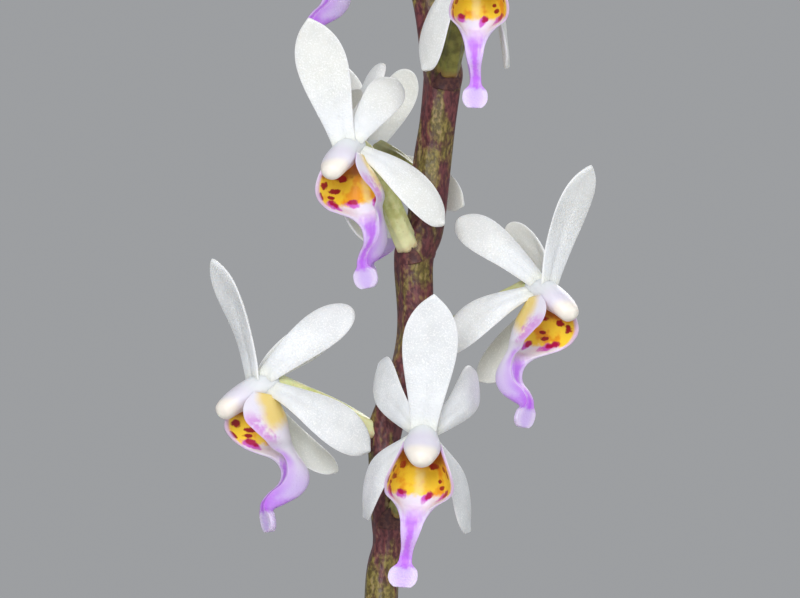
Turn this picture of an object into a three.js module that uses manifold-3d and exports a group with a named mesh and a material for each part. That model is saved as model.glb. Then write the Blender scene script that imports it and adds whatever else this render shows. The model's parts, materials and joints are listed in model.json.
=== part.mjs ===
// Potted Diploprora truncata, an orchid in flower, in millimetres with +Z up.
// The origin is the centre of the pot's underside, and the spike's best side faces -Y.
import * as THREE from "three";
import { mergeVertices } from "three/addons/utils/BufferGeometryUtils.js";
import Module from "manifold-3d";

const wasm = await Module();
wasm.setup();

// Driving dimensions
const GAP = 0.35; // clearance between neighbouring pieces
const BLOOM_Z = 180; // height of the middle of the open flowers
const POT = { height: 72, baseRadius: 29, topRadius: 38, rimRadius: 41.5, rimHeight: 13, wall: 4, floor: 5 };
const DRAIN = { radius: 4, circle: 15, count: 3 };
const MEDIUM = { bottom: POT.floor + GAP, top: 64, chips: 36, chipSize: 10.2 };
const STEM = { x: 5, y: 4, bottom: 52, top: 116, wide: 3.0, deep: 2.1, sheaths: 8 };
const LEAF_THICKNESS = 1.0;
const TEPAL_THICKNESS = 0.6;
const PEDICEL = { flowerEnd: 0.68, middle: 0.7, base: 0.85, segments: 7 };
const BRACT = { length: 2.6, width: 2.2, thickness: 0.7 };
const LIP_WALL = 0.6;
const CROWN = { z: 70, wide: 4.9, deep: 4.2, high: 2.0 }; // the knot where the roots meet the stem

// Rachis and peduncle: x, y, height above BLOOM_Z and radius, from the leafy stem to the tip
const RACHIS = [
  [5.0, 0.72, -96, 1.0],
  [4.5, -0.9, -92.6, 1.3],
  [2.4, -4.9, -84, 1.3],
  [0.4, -6.0, -70, 1.27],
  [-1.0, -4.3, -50, 1.25],
  [-1.5, -1.5, -32, 1.24],
  [-1.36, 0, -21.3, 1.22],
  [-0.88, 0, -18.1, 1.1],
  [-0.96, -0.1, -15.9, 1.12],
  [-1.18, 0, -11.8, 1.12],
  [-1.1, 0.1, -9.5, 1.24],
  [-0.15, 0, -6.8, 1.16],
  [0.81, 0.1, -4.2, 1.24],
  [1.18, 0, -1.4, 1.32],
  [1.0, -0.1, 2.5, 1.43],
  [1.18, -0.2, 3.8, 1.48],
  [1.84, 0, 5.4, 1.37],
  [2.4, 0.2, 10.1, 1.38],
  [2.76, 0, 12.8, 1.32],
  [3.08, -0.1, 15.5, 1.38],
  [3.16, -0.2, 16.7, 1.45],
  [2.76, 0, 18.6, 1.34],
  [2.2, 0.1, 22, 1.28],
  [1.5, 0, 24.9, 1.27],
  [1.8, 0.1, 28.6, 1.1],
  [2.35, 0.2, 31.5, 1.13],
  [2.05, 0, 35.2, 0.98],
  [1.5, -0.1, 37.8, 0.98],
  [1.8, 0, 41.8, 0.8],
  [2.3, 0.1, 44.6, 0.72],
  [1.9, 0, 47.4, 0.6],
  [2.2, 0, 49.6, 0.45],
];

// Flowers: where the column meets the sepals, from BLOOM_Z, and which way each faces, in degrees.
// yaw 0 faces -Y and 90 faces +X, pitch tips the face up, roll leans the top to the viewer's right.
// node is the height of its place on the rachis. petals and sepals are [out, back, up] from foot
// to tip, the viewer's left one and then the right one, and open turns the petals' faces forward.
// Where a flower differs, dorsal is the upper sepal's tip and dorsalFace its face's turn, faces
// and bows are the lower sepals', sway swings the lip's end sideways, slim narrows the lip and
// leaves moves the pedicel's start sideways.
const PETAL = [1.5, 6.5, 4.6];
const SEPAL = [2.6, 6.1, -4.6];
const FLOWERS = [
  { name: "a", at: [1.7, -9.5, -9.25], yaw: 0, pitch: 6, roll: 4.5, size: 1.02, node: -15.5, open: 24,
    petals: [[2.25, 5.9, 4.7], [2.35, 5.9, 4.5]], sepals: [[2.75, 5.0, -5.25], [2.8, 5.0, -5.7]],
    faces: [-0.5, -0.3], bows: [1.1, 0.7], sway: -0.65, leaves: 0.7 },
  { name: "b", at: [-3.75, -6.6, 11.4], yaw: -32, pitch: 0, roll: -11, size: 0.95, node: 3.9, open: 40,
    petals: [[0.6, 5.5, 3.9], [1.55, 4.6, 4.2]], sepals: [[2.1, 4.4, -5.9], [4.1, 3.0, -6.45]],
    dorsal: [0.6, -3.4, 9.5], dorsalFace: 0.5, faces: [-0.6, -0.4], sway: -0.3 },
  { name: "c", at: [-10.15, -1.6, -5.8], yaw: -68, pitch: 0, roll: -9, size: 1.0, node: -9.9, open: 20,
    petals: [[1.4, 7.2, 4.3], [1.5, 6.7, 4.65]], sepals: [[1.3, 5.8, -5.7], [2.3, 6.35, -4.9]],
    dorsal: [0, -3.3, 8.75], dorsalFace: 0.05, faces: [-0.8, 0] },
  { name: "d", at: [10.45, -3.65, 1.2], yaw: 48, pitch: 0, roll: 10, size: 0.95, node: -3.8, open: 30,
    petals: [[2.0, 7.0, 4.3], [1.5, 6.65, 4.6]], sepals: [[1.9, 6.6, -4.9], [1.4, 6.8, -6.3]],
    sway: -0.5 },
  { name: "e", at: [5.7, -8.6, 24.8], yaw: 4, pitch: 2, roll: 2, size: 0.98, node: 16.7, open: 45,
    petals: [[2.0, 5.8, 5.2], [2.0, 5.8, 5.2]], sepals: [[2.6, 3.4, -7.35], [1.9, 5.0, -6.8]],
    faces: [-0.6, 0], bows: [0.9, 0.6], slim: 0.82 },
  { name: "f", at: [-6.4, -2.3, 29.3], yaw: -54, pitch: 0, roll: 0, size: 0.98, node: 24.6, open: 30,
    petals: [PETAL, PETAL], sepals: [SEPAL, SEPAL] },
  { name: "g", at: [-2.3, 5.4, 11.4], yaw: -130, pitch: 0, roll: 0, size: 0.9, node: 8.4, open: 30,
    petals: [[0.75, 3.2, 6.1], [0.75, 3.2, 6.5]], sepals: [[2.8, 6.5, -4.0], [1.7, 4.7, -6.6]],
    dorsal: [0, -3.2, 6.9] },
  { name: "h", at: [10.4, 4.4, 35.4], yaw: 100, pitch: 0, roll: 3, size: 0.92, node: 31.4, open: 30,
    petals: [PETAL, PETAL], sepals: [SEPAL, SEPAL] },
  { name: "i", at: [-4.6, 8.0, 39.6], yaw: -145, pitch: 0, roll: 0, size: 0.88, node: 34.9, open: 40,
    petals: [PETAL, PETAL], sepals: [SEPAL, SEPAL] },
  { name: "j", at: [0.2, -8.2, 43.2], yaw: -12, pitch: 0, roll: -4, size: 0.84, node: 38, open: 50,
    petals: [[1.9, 5.4, 5.2], [1.9, 5.4, 5.2]], sepals: [[2.6, 5.0, -5.4], [2.6, 5.0, -5.4]] },
];

// Buds: height of each on the rachis, facing yaw and length
const BUDS = [
  { node: 41.6, yaw: 70, length: 6.4 },
  { node: 44.2, yaw: -70, length: 5.6 },
  { node: 46.2, yaw: 160, length: 4.6 },
  { node: 47.8, yaw: 20, length: 3.8 },
  { node: 49.2, yaw: -110, length: 3.0 },
];

// Leaves in two rows: which side, base height, length and half width, elevation at the base and at
// the end, and in degrees the sideways bend of the sickle and the turn of the base round the stem
const LEAVES = [
  { side: -1, base: 72, length: 62, half: 7.4, rise: 32, fall: -40, sickle: 26, turn: 14 },
  { side: 1, base: 77, length: 70, half: 8.0, rise: 36, fall: -44, sickle: -24, turn: -8 },
  { side: -1, base: 83, length: 84, half: 8.8, rise: 44, fall: -44, sickle: 22, turn: -14 },
  { side: 1, base: 89, length: 88, half: 9.2, rise: 48, fall: -42, sickle: -26, turn: 12 },
  { side: -1, base: 95, length: 80, half: 8.8, rise: 54, fall: -30, sickle: 24, turn: 10 },
  { side: 1, base: 101, length: 70, half: 8.0, rise: 58, fall: -18, sickle: -20, turn: -12 },
  { side: -1, base: 107, length: 52, half: 6.4, rise: 62, fall: 4, sickle: 16, turn: -4 },
];

// Aerial roots from the foot of the stem: each is a list of [x, y, z] and a radius
const ROOTS = [
  { radius: 1.7, path: [[6, 2, 70], [14, -7, 69.4], [21, -15, 70.4], [27, -21, 73.8], [32, -25.5, 75.6],
    [35.8, -28.8, 72], [35.6, -28.6, 62], [32.6, -26.2, 54], [30.6, -24.4, 44]] },
  { radius: 1.6, path: [[4, 2, 70], [-5, -9, 70.6], [-12, -17, 68.6], [-16, -20.5, 62], [-16.5, -21, 56]] },
  { radius: 1.5, path: [[3, 5, 70], [-9, 9, 71], [-17, 14, 69], [-21, 16.5, 62], [-21.5, 17, 56]] },
  { radius: 1.5, path: [[7, 6, 70], [11, 14, 70.8], [11.5, 21, 68.6], [10.5, 25.5, 61], [10.5, 26, 56]] },
];

const COLOURS = {
  tepal: 0xf4f3ee, lip: 0xcfa8e6, pedicel: 0xb9b45a, rachis: 0x5c3a34, bud: 0xe6e8c8,
  stem: 0x6f7f3a, leaf: 0x4f6f2a, root: 0x9aa08a, bark: 0x6a4a32, pot: 0xb5673f,
};

// Helpers

function seededRandom(seed) {
  let state = seed;
  return () => {
    state = (state * 1664525 + 1013904223) % 4294967296;
    return state / 4294967296;
  };
}

const radians = THREE.MathUtils.degToRad;
const vec = (x, y, z) => new THREE.Vector3(x, y, z);

// A closed mesh from points and triangles that already face outwards.
function geometryOf(points, triangles) {
  const geometry = new THREE.BufferGeometry();
  const flat = points.flatMap((p) => [p.x, p.y, p.z]);
  geometry.setAttribute("position", new THREE.Float32BufferAttribute(flat, 3));
  geometry.setIndex(triangles);
  return geometry;
}

// A copy with its coinciding points made one.
function welded(geometry) {
  const bare = geometry.clone();
  bare.deleteAttribute("normal");
  bare.deleteAttribute("uv");
  return mergeVertices(bare, 1e-4);
}

function toSolid(geometry) {
  const merged = welded(geometry);
  return new wasm.Manifold(
    new wasm.Mesh({
      numProp: 3,
      vertProperties: new Float32Array(merged.attributes.position.array),
      triVerts: new Uint32Array(merged.index.array),
    }),
  );
}

function toGeometry(solid) {
  const mesh = solid.getMesh();
  const geometry = new THREE.BufferGeometry();
  const positions = [];
  for (let i = 0; i < mesh.numVert; i++) {
    positions.push(...mesh.vertProperties.subarray(i * mesh.numProp, i * mesh.numProp + 3));
  }
  geometry.setAttribute("position", new THREE.Float32BufferAttribute(positions, 3));
  geometry.setIndex([...mesh.triVerts]);
  return geometry;
}

const joined = (geometries) => geometries.map(toSolid).reduce((all, one) => all.add(one));

// A closed blade between two grids of points, rows by columns, cut into triangles alike on both.
function slab(front, back) {
  const rows = front.length;
  const columns = front[0].length;
  const points = [...front.flat(), ...back.flat()];
  const half = rows * columns;
  const at = (side, r, c) => side * half + r * columns + c;
  const triangles = [];
  for (let r = 0; r < rows - 1; r++) {
    for (let c = 0; c < columns - 1; c++) {
      const [a, b, d, e] = [[r, c], [r, c + 1], [r + 1, c], [r + 1, c + 1]];
      const mirrored = c >= (columns - 1) / 2;
      for (const side of [0, 1]) {
        const [p, q, s, t] = [a, b, d, e].map(([row, column]) => at(side, row, column));
        const cut = mirrored ? [[p, q, t], [p, t, s]] : [[p, q, s], [q, t, s]];
        cut.forEach((tri) => triangles.push(...(side ? tri.reverse() : tri)));
      }
    }
  }
  const border = [];
  for (let c = 0; c < columns - 1; c++) {
    border.push([0, c]);
  }
  for (let r = 0; r < rows - 1; r++) {
    border.push([r, columns - 1]);
  }
  for (let c = columns - 1; c > 0; c--) {
    border.push([rows - 1, c]);
  }
  for (let r = rows - 1; r > 0; r--) {
    border.push([r, 0]);
  }
  border.forEach(([r, c], i) => {
    const [r2, c2] = border[(i + 1) % border.length];
    triangles.push(at(0, r2, c2), at(0, r, c), at(1, r, c));
    triangles.push(at(0, r2, c2), at(1, r, c), at(1, r2, c2));
  });
  return faceOutwards(geometryOf(points, triangles));
}

// Turns every triangle round where a closed mesh encloses a negative volume.
function faceOutwards(geometry) {
  const p = geometry.attributes.position;
  const index = geometry.index.array;
  const [a, b, c] = [vec(), vec(), vec()];
  let volume = 0;
  for (let i = 0; i < index.length; i += 3) {
    a.fromBufferAttribute(p, index[i]);
    b.fromBufferAttribute(p, index[i + 1]);
    c.fromBufferAttribute(p, index[i + 2]);
    volume += a.dot(b.cross(c));
  }
  if (volume < 0) {
    for (let i = 0; i < index.length; i += 3) {
      [index[i + 1], index[i + 2]] = [index[i + 2], index[i + 1]];
    }
  }
  return geometry;
}

// A closed tube through points with a radius at each, ends capped by fans. ridge raises every
// other side, and heights, where given, is the radius across the first one.
function tube(points, radii, sides, ridge = 0, heights = radii) {
  const rings = [];
  const start = points[1].clone().sub(points[0]).normalize();
  let across = Math.abs(start.x) > 0.9 ? vec(0, 1, 0) : vec(1, 0, 0);
  points.forEach((point, i) => {
    const before = points[Math.max(i - 1, 0)];
    const after = points[Math.min(i + 1, points.length - 1)];
    const along = after.clone().sub(before).normalize();
    across = across.clone().addScaledVector(along, -across.dot(along)).normalize();
    const other = along.clone().cross(across);
    rings.push(
      Array.from({ length: sides }, (_, k) => {
        const angle = (2 * Math.PI * k) / sides;
        const swell = 1 + (k % 2 ? -ridge : ridge);
        return point
          .clone()
          .addScaledVector(across, swell * radii[i] * Math.cos(angle))
          .addScaledVector(other, swell * heights[i] * Math.sin(angle));
      }),
    );
  });
  const triangles = [];
  for (let i = 0; i < rings.length - 1; i++) {
    for (let k = 0; k < sides; k++) {
      const next = (k + 1) % sides;
      const [a, b] = [i * sides + k, i * sides + next];
      const [c, d] = [a + sides, b + sides];
      triangles.push(a, b, d, a, d, c);
    }
  }
  const last = (rings.length - 1) * sides;
  for (let k = 1; k < sides - 1; k++) {
    triangles.push(0, k + 1, k);
    triangles.push(last, last + k, last + k + 1);
  }
  return faceOutwards(geometryOf(rings.flat(), triangles));
}

function smoothed(points, count) {
  return new THREE.CatmullRomCurve3(points, false, "centripetal").getSpacedPoints(count);
}

function ellipsoid(centre, radii, across, down) {
  const ball = new THREE.SphereGeometry(1, across, down);
  ball.scale(...radii);
  ball.translate(...centre);
  return ball;
}

// The rachis point and radius at a height above BLOOM_Z.
function rachisAt(height) {
  const i = Math.max(1, RACHIS.findIndex((p) => p[2] >= height));
  const [low, high] = [RACHIS[i - 1], RACHIS[i]];
  const share = (height - low[2]) / (high[2] - low[2]);
  const mix = (k) => THREE.MathUtils.lerp(low[k], high[k], share);
  return { point: vec(mix(0), mix(1), BLOOM_Z + height), radius: mix(3) };
}

// Flower parts, in a flower's own axes: x to the viewer's right, y to the back, z up

// A sepal or petal from base to tip. half(t) is its half width at the share t of its length,
// normal the way its face looks, bow its arch out along normal and cup the rise of its edges.
function tepal(base, tip, normal, half, bow, cup) {
  const axis = tip.clone().sub(base);
  const along = axis.clone().normalize();
  const face = normal.clone().addScaledVector(along, -normal.dot(along)).normalize();
  const wide = along.clone().cross(face);
  const shares = [0, 0.24, 0.48, 0.7, 0.9, 1];
  const leastHalf = 0.16;
  const layer = (offset) =>
    shares.map((t) =>
      [-1, 0, 1].map((v) => {
        const h = Math.max(half(t), leastHalf);
        const lift = bow * 4 * t * (1 - t) + cup * h * v * v + offset;
        return base
          .clone()
          .addScaledVector(axis, t)
          .addScaledVector(wide, h * v)
          .addScaledVector(face, lift);
      }),
    );
  return slab(layer(TEPAL_THICKNESS / 2), layer(-TEPAL_THICKNESS / 2));
}

// Half widths: a foot that narrows and a swelling from 0 through 1 at peak to 0 at the tip.
function swelling(t, peak, power) {
  const moved = t ** (Math.log(0.5) / Math.log(peak));
  return Math.max(0, Math.sin(Math.PI * moved)) ** power;
}
const dorsalHalf = (t) => 0.92 * (1 - t) ** 1.1 + 1.72 * swelling(t, 0.69, 0.66);
const petalHalf = (t) => 0.6 * (1 - t) ** 2 + 1.47 * swelling(t, 0.7, 0.46);
const sepalHalf = (t) => 0.65 * (1 - t) ** 1.2 + 1.55 * swelling(t, 0.7, 0.72 - 0.3 * t);

// The column from the ovary to the anther cap: [back, up, half width, half height]
const COLUMN = [
  [1.3, -0.2, 0.6, 0.55],
  [0.8, -0.3, 1.05, 0.9],
  [0.0, -0.55, 1.08, 1.0],
  [-0.8, -0.98, 1.2, 1.03],
  [-1.7, -1.48, 1.34, 0.98],
  [-2.5, -1.97, 1.18, 0.87],
  [-3.15, -2.48, 0.8, 0.68],
  [-3.5, -2.77, 0.36, 0.38],
];

function perianth({ petals, sepals, open, dorsal = [0, -3.5, 9.0], dorsalFace = 0, faces, bows }) {
  const pieces = [];
  const dorsalNormal = vec(dorsalFace, -1, 0);
  pieces.push(tepal(vec(0, -0.6, -0.3), vec(...dorsal), dorsalNormal, dorsalHalf, -0.6, 0.12));
  [-1, 1].forEach((side, i) => {
    const petalFoot = vec(side * 0.95, -0.2, 0.15);
    const petalTip = petalFoot.clone().add(vec(side * petals[i][0], petals[i][1], petals[i][2]));
    const petalRoot = petalFoot.clone().add(vec(-side * 0.4, 0.1, -0.25));
    const [turned, level] = [Math.sin(radians(open)), Math.cos(radians(open))];
    const petalFace = vec(side * level, -0.55 * turned, 0.83 * turned);
    pieces.push(tepal(petalRoot, petalTip, petalFace, petalHalf, 1.0, -0.1));
    const sepalFoot = vec(side * 1.0, 0.45, -0.9);
    const sepalTip = sepalFoot.clone().add(vec(side * sepals[i][0], sepals[i][1], sepals[i][2]));
    const sepalRoot = sepalFoot.clone().add(vec(-side * 0.15, -0.05, 0.12));
    const sepalFace = vec(side, faces ? faces[i] : 0, 0.1);
    pieces.push(tepal(sepalRoot, sepalTip, sepalFace, sepalHalf, bows ? bows[i] : 1.1, -0.1));
  });
  const middle = COLUMN.map(([back, up]) => vec(0, back, up));
  pieces.push(tube(middle, COLUMN.map((p) => p[2]), 8, 0, COLUMN.map((p) => p[3])));
  return toGeometry(joined(pieces));
}

// Lip rows from the column's foot to the end lobe: [forward, up] of its back line, of its rim,
// and its half width.
const LIP_ROWS = [
  [-1.0, -2.0, 0.8, -2.6, 1.0],
  [-1.5, -2.6, 1.95, -3.3, 1.62],
  [-1.75, -3.35, 2.15, -3.9, 2.25],
  [-1.8, -4.15, 1.45, -4.7, 2.4],
  [-2.05, -5.05, 0.2, -5.35, 1.72],
  [-2.65, -5.95, -1.0, -6.05, 1.08],
  [-3.25, -6.95, -1.3, -7.05, 0.76],
  [-3.2, -7.9, -0.95, -7.85, 0.58],
  [-2.5, -8.7, -0.15, -8.45, 0.46],
  [-1.3, -9.3, 0.4, -9.1, 0.44],
  [-0.4, -9.68, 0.5, -9.63, 0.5],
  [-0.35, -10.12, 0.38, -10.12, 0.96],
  [-0.4, -10.7, 0.3, -10.7, 1.04],
  [-0.35, -11.22, 0.22, -11.22, 0.76],
];
const LOBE_UP = -9.6; // below this height the lip is its flat end lobe
const SWAY_TOP = -4.6; // the sideways swing starts at this height

// The lip is a boat: each row is a U from rim to rim round its back line, and the groove
// inside it runs shallow where the boat narrows to its blade.
function lip({ sway = 0, slim = 1 }) {
  const turns = [-1, -0.5, 0, 0.5, 1];
  const layer = (inner) =>
    LIP_ROWS.map(([backF, backU, rimF, rimU, half]) => {
      const depth = Math.hypot(rimF - backF, rimU - backU);
      const hollow = THREE.MathUtils.clamp((half - 0.7) / 0.8, 0.12, 1);
      const groove = hollow * (backU < LOBE_UP ? 0.15 : 1);
      const floor = inner ? 1 - groove * (1 - LIP_WALL / depth) : 0;
      const wide = inner ? Math.max(half - LIP_WALL, half * 0.4) : half;
      return turns.map((v) => {
        const share = floor + (1 - floor) * Math.abs(v) ** 2.2;
        const forward = THREE.MathUtils.lerp(backF, rimF, share);
        const up = THREE.MathUtils.lerp(backU, rimU, share);
        const swing = sway * THREE.MathUtils.clamp((SWAY_TOP - up) / 6, 0, 1) ** 0.7;
        return vec(slim * wide * Math.sin((v * Math.PI) / 2) + swing, -forward, up);
      });
    });
  return slab(layer(true), layer(false));
}

function flowerMatrix({ at, yaw, pitch, roll, size }) {
  const turn = new THREE.Euler(radians(-pitch), radians(roll), radians(yaw), "ZXY");
  const place = vec(at[0], at[1], BLOOM_Z + at[2]);
  const rotation = new THREE.Quaternion().setFromEuler(turn);
  return new THREE.Matrix4().compose(place, rotation, vec(size, size, size));
}

// The pedicel rises from its node and turns in to the flower's back.
function pedicel(flower) {
  const matrix = flowerMatrix(flower);
  const flowerEnd = vec(0, 1.35 + GAP + 0.15, -0.25).applyMatrix4(matrix);
  const behind = vec(0, 4.2, -1.5).applyMatrix4(matrix);
  const { point, radius } = rachisAt(flower.node);
  const outward = flowerEnd.clone().sub(point).setZ(0).normalize();
  const start = point.clone().addScaledVector(outward, radius * 1.12 + PEDICEL.base * 0.35 + GAP);
  start.x += flower.leaves ?? 0;
  const climb = 0.38 * (flowerEnd.z - start.z);
  const rising = start.clone().addScaledVector(outward, 1.6).add(vec(0, 0, climb));
  const curve = new THREE.CubicBezierCurve3(start, rising, behind, flowerEnd);
  const radii = Array.from({ length: PEDICEL.segments + 1 }, (_, i) => {
    const t = i / PEDICEL.segments;
    return t < 0.5
      ? THREE.MathUtils.lerp(PEDICEL.base, PEDICEL.middle, t * 2)
      : THREE.MathUtils.lerp(PEDICEL.middle, PEDICEL.flowerEnd, t * 2 - 1);
  });
  return tube(curve.getPoints(PEDICEL.segments), radii, 6);
}

// A small scale-shaped bract below a pedicel, sunk into the rachis.
function bract(node, outward) {
  const { point, radius } = rachisAt(node);
  const wide = vec(0, 0, 1).cross(outward).normalize();
  const foot = point.clone().addScaledVector(outward, radius * 0.55).add(vec(0, 0, -2.1));
  const layer = (offset) =>
    [0, 0.55, 1].map((t) =>
      [-1, 1].map((v) => {
        const half = (BRACT.width / 2) * (t < 0.9 ? 1 - 0.25 * t : 0.2);
        return foot
          .clone()
          .add(vec(0, 0, BRACT.length * t * 0.62))
          .addScaledVector(wide, half * v)
          .addScaledVector(outward, 0.85 * t * t - 0.2 + offset);
      }),
    );
  return slab(layer(BRACT.thickness / 2), layer(-BRACT.thickness / 2));
}

const headingOf = (yaw) => vec(Math.sin(radians(yaw)), -Math.cos(radians(yaw)), 0);

function rachis() {
  const points = RACHIS.map(([x, y, z]) => vec(x, y, BLOOM_Z + z));
  const pieces = [tube(points, RACHIS.map((p) => p[3]), 8, 0.06)];
  for (const flower of FLOWERS) {
    const { point } = rachisAt(flower.node);
    const outward = vec(flower.at[0], flower.at[1], BLOOM_Z).sub(point).setZ(0).normalize();
    pieces.push(bract(flower.node - 0.6, outward));
  }
  for (const height of [-62, -36]) {
    pieces.push(bract(height, headingOf(height * 3)));
  }
  return toGeometry(joined(pieces));
}

// An unopened flower: an egg-shaped bud with its short pedicel.
function bud({ node, yaw, length }) {
  const { point, radius } = rachisAt(node);
  const outward = headingOf(yaw);
  const start = point.clone().addScaledVector(outward, radius * 1.12 + 0.5 + GAP);
  const neck = start.clone().addScaledVector(outward, length * 0.45).add(vec(0, 0, length * 0.35));
  const aim = outward.clone().multiplyScalar(0.75).add(vec(0, 0, 0.66)).normalize();
  const points = [start, start.clone().lerp(neck, 0.5), neck];
  const radii = [0.55, 0.5, 0.5];
  const swell = [[0.15, 0.9], [0.35, 1.35], [0.6, 1.45], [0.82, 1.0], [1, 0.35]];
  for (const [share, radiusShare] of swell) {
    points.push(neck.clone().addScaledVector(aim, length * share * 0.8));
    radii.push((radiusShare * length) / 6);
  }
  return tube(points, radii, 7);
}

// Vegetative parts

// The stem's size at a height as a share of its full one: it tapers, and each sheath flares up.
function stemShare(z) {
  const t = (z - STEM.bottom) / (STEM.top - STEM.bottom);
  const sheath = (t * STEM.sheaths) % 1;
  return (t > 0.98 ? 0.5 : 1.0 - 0.22 * t) * (0.92 + 0.16 * sheath);
}

function stem() {
  const steps = STEM.sheaths * 3;
  const heights = Array.from({ length: steps + 1 }, (_, i) =>
    THREE.MathUtils.lerp(STEM.bottom, STEM.top, i / steps),
  );
  const body = tube(heights.map((z) => vec(0, 0, z)), heights.map(stemShare), 8);
  body.scale(STEM.wide, STEM.deep, 1);
  body.translate(STEM.x, STEM.y, 0);
  return body;
}

// A channelled, sickle-shaped leaf with a waved edge and an unequally two-lobed end.
function leaf({ side, base, length, half, rise, fall, sickle, turn }) {
  const rows = 9;
  const turns = [-1, -0.5, 0, 0.5, 1];
  const heading = (t) => radians((side > 0 ? 0 : 180) + turn + side * sickle * t);
  const climb = (t) => radians(THREE.MathUtils.lerp(rise, fall, t));
  const centres = [];
  const steep = LEAF_THICKNESS / 2 / Math.cos(radians(rise));
  const widest = Math.max(stemShare(base), stemShare(base + 2)) * STEM.wide;
  const point = vec(STEM.x + side * (widest + steep * Math.sin(radians(rise)) + GAP), STEM.y, base);
  for (let i = 0; i <= rows; i++) {
    centres.push(point.clone());
    const t = (i + 0.5) / rows;
    const step = length / rows;
    point.x += step * Math.cos(climb(t)) * Math.cos(heading(t));
    point.y += step * Math.cos(climb(t)) * Math.sin(heading(t));
    point.z += step * Math.sin(climb(t));
  }
  const layer = (offset) =>
    centres.map((centre, i) => {
      const t = i / rows;
      const along = vec(
        Math.cos(climb(t)) * Math.cos(heading(t)),
        Math.cos(climb(t)) * Math.sin(heading(t)),
        Math.sin(climb(t)),
      );
      const wide = vec(0, 0, 1).cross(along).normalize();
      const up = along.clone().cross(wide).normalize();
      const h = half * (0.26 * (1 - t) + 0.3 * t * t + 0.82 * Math.sin(Math.PI * t ** 0.85) ** 0.8);
      return turns.map((v) => {
        const fold = (0.55 - 0.42 * t) * Math.abs(v) * h;
        const wave = 0.07 * half * Math.sin(2 * Math.PI * (2.5 * t + 0.13 * base)) * v * v * Math.sign(v);
        const longLobe = 0.05 * v;
        const shortLobe = -0.12 * v * (v + 1) - 0.035;
        const lobe = i === rows ? length * (v > 0 ? longLobe : shortLobe) : 0;
        return centre
          .clone()
          .addScaledVector(wide, h * v)
          .addScaledVector(up, fold + wave + offset)
          .addScaledVector(along, lobe);
      });
    });
  return slab(layer(LEAF_THICKNESS / 2), layer(-LEAF_THICKNESS / 2));
}

// A root as a tube along its smoothed path, with a radius at each share of its length.
function rootTube({ path }, radiusAt) {
  const count = path.length * 2 + 2;
  const points = smoothed(path.map((p) => vec(...p)), count);
  return tube(points, points.map((_, i) => radiusAt(i / count)), 6);
}

function crown(clearance) {
  const { z, wide, deep, high } = CROWN;
  return ellipsoid([STEM.x, STEM.y, z], [wide + clearance, deep + clearance, high + clearance], 10, 6);
}

function roots() {
  const pieces = [crown(0)];
  for (const root of ROOTS) {
    pieces.push(rootTube(root, (t) => root.radius * (1.08 - 0.4 * t ** 3)));
  }
  return toGeometry(joined(pieces).subtract(toSolid(stemHole(GAP))));
}

function stemHole(clearance) {
  const hole = new THREE.CylinderGeometry(1, 1, 60, 12);
  hole.rotateX(Math.PI / 2);
  hole.scale(STEM.wide * 1.08 + clearance, STEM.deep * 1.08 + clearance, 1);
  hole.translate(STEM.x, STEM.y, 75);
  return hole;
}

// Bark pieces packed to the pot's wall, with a plain hole for the stem and for each root.
function medium() {
  const random = seededRandom(11);
  const radiusAt = (z) => potInside(z) - GAP;
  const { bottom, top, chips, chipSize } = MEDIUM;
  const profile = [[0, bottom], [radiusAt(bottom), bottom], [radiusAt(top), top], [0, top]].map(
    ([r, z]) => new THREE.Vector2(r, z),
  );
  const bed = new THREE.LatheGeometry(profile, 24);
  bed.rotateX(Math.PI / 2);
  const pieces = [faceOutwards(welded(bed))];
  const golden = Math.PI * (3 - Math.sqrt(5));
  for (let i = 0; i < chips; i++) {
    const reach = (radiusAt(top) - chipSize * 0.72) * Math.sqrt((i + 0.5) / chips);
    const size = chipSize * (0.75 + 0.45 * random());
    const chip = new THREE.BoxGeometry(size, size * (0.5 + 0.3 * random()), size * 0.42);
    const tilt = new THREE.Euler((random() - 0.5) * 0.7, (random() - 0.5) * 0.7, random() * Math.PI * 2);
    chip.applyQuaternion(new THREE.Quaternion().setFromEuler(tilt));
    const height = top + (random() - 0.35) * 1.6;
    chip.translate(reach * Math.cos(i * golden), reach * Math.sin(i * golden), height);
    pieces.push(chip);
  }
  let solid = joined(pieces).subtract(toSolid(stemHole(1)));
  solid = solid.subtract(toSolid(crown(0.6)));
  for (const root of ROOTS) {
    solid = solid.subtract(toSolid(rootTube(root, () => root.radius * 1.08 + 0.55)));
  }
  const bodies = solid.decompose().sort((a, b) => b.volume() - a.volume());
  return toGeometry(bodies[0]);
}

function potOutside(z) {
  return THREE.MathUtils.lerp(POT.baseRadius, POT.topRadius, z / POT.height);
}

function potInside(z) {
  return potOutside(z) - POT.wall;
}

function pot() {
  const { height, baseRadius, rimRadius, rimHeight, floor } = POT;
  const profile = [
    [0, 0], [baseRadius - 0.8, 0], [baseRadius, 0.8],
    [potOutside(height - rimHeight), height - rimHeight],
    [rimRadius - 0.6, height - rimHeight], [rimRadius, height - rimHeight + 0.8],
    [rimRadius + 0.6, height - 1], [rimRadius - 0.2, height],
    [potInside(height) + 1, height], [potInside(height), height - 1],
    [potInside(floor), floor], [0, floor],
  ].map(([r, z]) => new THREE.Vector2(r, z));
  const shell = new THREE.LatheGeometry(profile, 32);
  shell.rotateX(Math.PI / 2);
  let solid = toSolid(faceOutwards(welded(shell)));
  for (let i = 0; i < DRAIN.count; i++) {
    const angle = (2 * Math.PI * (i + 0.25)) / DRAIN.count;
    const hole = new THREE.CylinderGeometry(DRAIN.radius, DRAIN.radius, floor * 4, 14);
    hole.rotateX(Math.PI / 2);
    hole.translate(DRAIN.circle * Math.cos(angle), DRAIN.circle * Math.sin(angle), 0);
    solid = solid.subtract(toSolid(hole));
  }
  return toGeometry(solid);
}

// The plant, put together

const group = new THREE.Group();

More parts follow.
